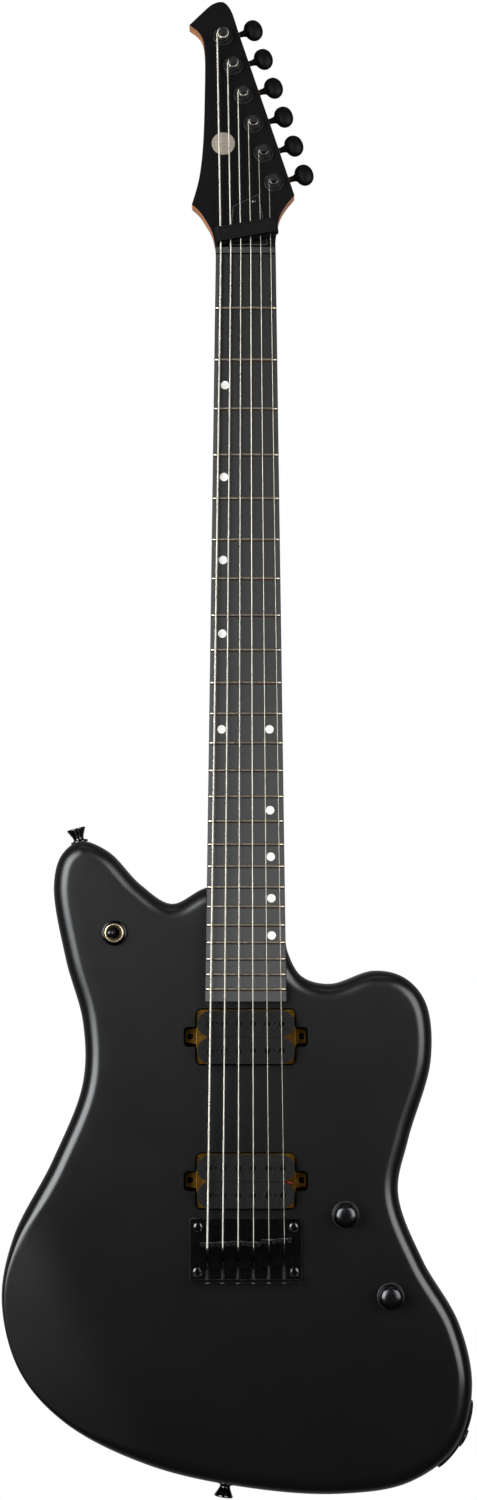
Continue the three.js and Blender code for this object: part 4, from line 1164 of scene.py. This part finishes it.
def make_jack():
    inner, outer, half_height = JACK_RIM + 0.35, JACK_RIM + 1.65, 11.0
    half, corner, count = math.radians(24.9), 5.0, 60
    rings = []
    for i in range(count + 1):
        a = JACK_ANGLE - half + 2 * half * i / count
        from_end = min(i, count - i) / count * 2 * half * outer
        w = half_height
        if from_end < corner:
            w -= corner - math.sqrt(max(corner ** 2 - (corner - from_end) ** 2, 0))
        section = ((inner, -w), (outer - 0.4, -w), (outer, -w + 0.4), (outer, w - 0.4), (outer - 0.4, w),
                   (inner, w))
        rings.append([Vector((JACK_CENTRE[0] + radius * math.cos(a), BODY_THICKNESS / 2 + y,
                              JACK_CENTRE[1] + radius * math.sin(a))) for radius, y in section])
    to_nut, at = FROM_NUT.inverted(), at_jack(JACK_RIM + 3.6)
    bore = moved(rod(5.1, -8, 12, 36), to_nut @ at)
    piece("jack_plate_curved", carved(loft(rings), bore), MATTE_PLASTIC,
          nodes=["jack_plate"], angle=30)
    screws = [moved(screw(2.1, 0, 0, 0, 30, 0.5), to_nut @ at_jack(outer, math.radians(swing)))
              for swing in (-19.4, 19.4)]
    piece("jack_plate_screws", merged(*screws), GLOSS_BLACK)
    sleeve = ring_lathe([(3.6, 0.1), (3.9, 0), (4.5, 0), (4.7, 0.2), (4.7, 9), (8.6, 9), (8.6, 30),
                         (3.6, 30)])
    hexagon = carved(prism(disc(6.4, sides=6), 0.3, 1.35), prism(disc(4.75), -1, 4))
    washer = ring_lathe([(4.8, 1.4), (6.9, 1.4), (6.9, 1.7), (4.8, 1.7)])
    piece("jack_sleeve_and_nut", merged(sleeve, hexagon, washer), GLOSS_BLACK, at, nodes=["jack_socket"],
          bevel=0.15)


def make_strap_buttons():
    profile = [(0, 0), (5.9, 0), (6.05, 0.2), (6.1, 0.9), (5.9, 1.4), (4.6, 1.8), (3.8, 2.3), (3.6, 3.0),
               (3.8, 3.9), (4.6, 5.8), (6.2, 8.9), (6.55, 9.6), (6.6, 10.0), (6.4, 10.35), (5.9, 10.55),
               (3.1, 10.55), (2.9, 10.0), (0, 10.0)]
    cone = lathe([(r, -y) for r, y in profile], 60)
    head = screw(2.7, 0, -10.0, 0, 25, 0.4)
    for name, (way, x, z) in STRAP_BUTTONS.items():
        at = facing(way, x, BODY_THICKNESS / 2, z)
        piece(f"{name}_strap_cone", merged(cone, head), GLOSS_BLACK, at, nodes=[f"{name}_strap_button"],
              angle=40)


# ---- back
def make_back():
    back = BODY_THICKNESS
    drills = [prism(disc(2.2, x, z), back - 2, back + 4) for x, z in NECK_SCREWS]
    plate = carved(prism(rounded(NECK_PLATE, 5), back + 0.3, back + 2.3), *drills)
    piece("neck_plate_steel", plate, SATIN_HARDWARE, nodes=["neck_plate"], bevel=0.4)
    for i, (x, z) in enumerate(NECK_SCREWS):
        shank = lathe([(0, 3.5), (0.9, 4.5), (1.8, 8), (1.8, 46.6), (0, 46.6)], 20)
        head = screw(4.2, 0, 46.6, 0, 20 + 33 * i, 0.55, back=True)
        piece(f"neck_bolt_{i + 1}", merged(shank, head), GLOSS_BLACK, FROM_NUT @ offset(x, 0, z),
              nodes=[f"neck_screw_{i + 1}"])
    cover = inward(smooth_loop(CONTROL_CAVITY, 120), -5.0)
    piece("control_cover_plate", prism(cover, back - 2.2, back), MATTE_PLASTIC,
          nodes=["control_cavity_cover"], bevel=0.3)
    cover = disc(20.2, *SWITCH, sides=72)
    piece("switch_cover_plate", prism(cover, back - 2.2, back), MATTE_PLASTIC,
          nodes=["switch_cavity_cover"], bevel=0.3)
    spots = [(69, -654), (112, -709), (130, -808), (88, -765), (57, -683)]
    x, z = SWITCH
    spots += [(x + 16.5 * math.cos(a), z + 16.5 * math.sin(a)) for a in (0.5, 2.6, 4.7)]
    screws = [screw(1.9, sx, back - 0.15, sz, 17 * i, 0.5, back=True) for i, (sx, sz) in enumerate(spots)]
    piece("cover_screws", merged(*screws), GLOSS_BLACK)
    cup = ring_lathe([(1.7, 38.4), (3.9, 38.4), (3.9, 43.0), (4.6, 43.1), (4.6, 43.6), (4.3, 43.95),
                      (2.6, 43.95), (2.2, 43.4), (2.2, 41.0), (1.7, 40.8)], 36)
    cups = [shifted(cup, string_x(k, SADDLE_SPREAD), 0, STRING_HOLE_Z) for k in range(STRINGS)]
    piece("string_ferrules", merged(*cups), GLOSS_BLACK, nodes=["string_ferrule_block"])


# ---- assembly
make_body()
make_neck()
make_board()
make_nut()
make_strings()
make_tuners()
make_head_trim()
make_pickups()
make_bridge()
make_controls()
make_jack()
make_strap_buttons()
make_back()
rod_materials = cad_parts["truss_rod"].data.materials
rod_materials.clear()
rod_materials.append(NICKEL)


# ---- studio
def softbox(name, size, at, towards, energy, colour=(1, 1, 1)):
    """A rectangular lamp that the camera doesn't see."""
    data = bpy.data.lights.new(name, "AREA")
    data.shape, data.size, data.size_y = "RECTANGLE", size[0], size[1]
    data.energy, data.color = energy, colour
    light = bpy.data.objects.new(name, data)
    bpy.context.scene.collection.objects.link(light)
    light.location = at
    light.rotation_euler = (Vector(towards) - Vector(at)).to_track_quat("-Z", "Y").to_euler()
    light.visible_camera = False


ROOM_LEVEL = 0.035
BACKDROP_LEVEL = 0.3
FLOOR_DROP = 0.9


def make_floor():
    half, top = 2.2, cad_box[0].z - FLOOR_DROP
    corners = [(-half, -half), (half, -half), (half, half), (-half, half)]
    slab = loft([[Vector((x, y, z)) for x, y in corners] for z in (top - 0.02, top)])
    floor = raw_object("studio_floor", slab)
    paint = new_material("studio_floor_paint")
    paint.link(paint.mottle(paint.noise(3), grey(0.80), grey(0.84)), paint.shader.inputs["Base Color"])
    paint.link(paint.range(paint.noise(40), 0.5, 0.6), paint.shader.inputs["Roughness"])
    floor.data.materials.append(paint.owner)
    floor.visible_glossy = False


def make_world():
    """White behind the guitar; the room in front is dim, so that the black finishes stay black."""
    world = Nodes(bpy.data.worlds.new("studio_world"))
    bpy.context.scene.world = world.owner
    background = world.tree.nodes["Background"]
    background.inputs["Color"].default_value = (1, 1, 1, 1)
    upward = world.split(world.coords["Generated"])["Y"]
    level = world.add("ShaderNodeMapRange")
    world.link(world.add("ShaderNodeLightPath").outputs["Is Camera Ray"], level.inputs["Value"])
    world.link(world.range(upward, ROOM_LEVEL, BACKDROP_LEVEL, 0.0, 0.7), level.inputs["To Min"])
    world.link(level.outputs["Result"], background.inputs["Strength"])


def make_studio():
    make_floor()
    make_world()
    bpy.context.scene.view_settings.view_transform = "Standard"
    middle = (0, 0, -0.55)
    softbox("left_softbox", (2.0, 2.2), (-1.79, -2.15, 0.12), middle, 152, (0.95, 0.98, 1))
    softbox("right_softbox", (1.9, 2.2), (1.79, -2.15, 0.12), middle, 77)
    softbox("top_softbox", (1.6, 0.7), (0, -0.5, 2.0), (0, 0, -0.4), 3)


# The photo's camera, in millimetres from the nut, with its upward tilt in degrees and its lens.
CAMERA_PLACE = (-5.1, -3009.6, -456.8)
CAMERA_TILT = 2.08
CAMERA_LENS = 103.39


def make_camera():
    data = bpy.data.cameras.new("photo_camera")
    data.lens = CAMERA_LENS
    data.sensor_width = 36
    data.clip_start, data.clip_end = 0.05, 50
    camera = bpy.data.objects.new("photo_camera", data)
    bpy.context.scene.collection.objects.link(camera)
    x, y, z = CAMERA_PLACE
    camera.location = (x * MM, y * MM, (NUT_Z + z) * MM)
    camera.rotation_euler = (math.radians(90 + CAMERA_TILT), 0, 0)
    bpy.context.scene.camera = camera


make_studio()
make_camera()
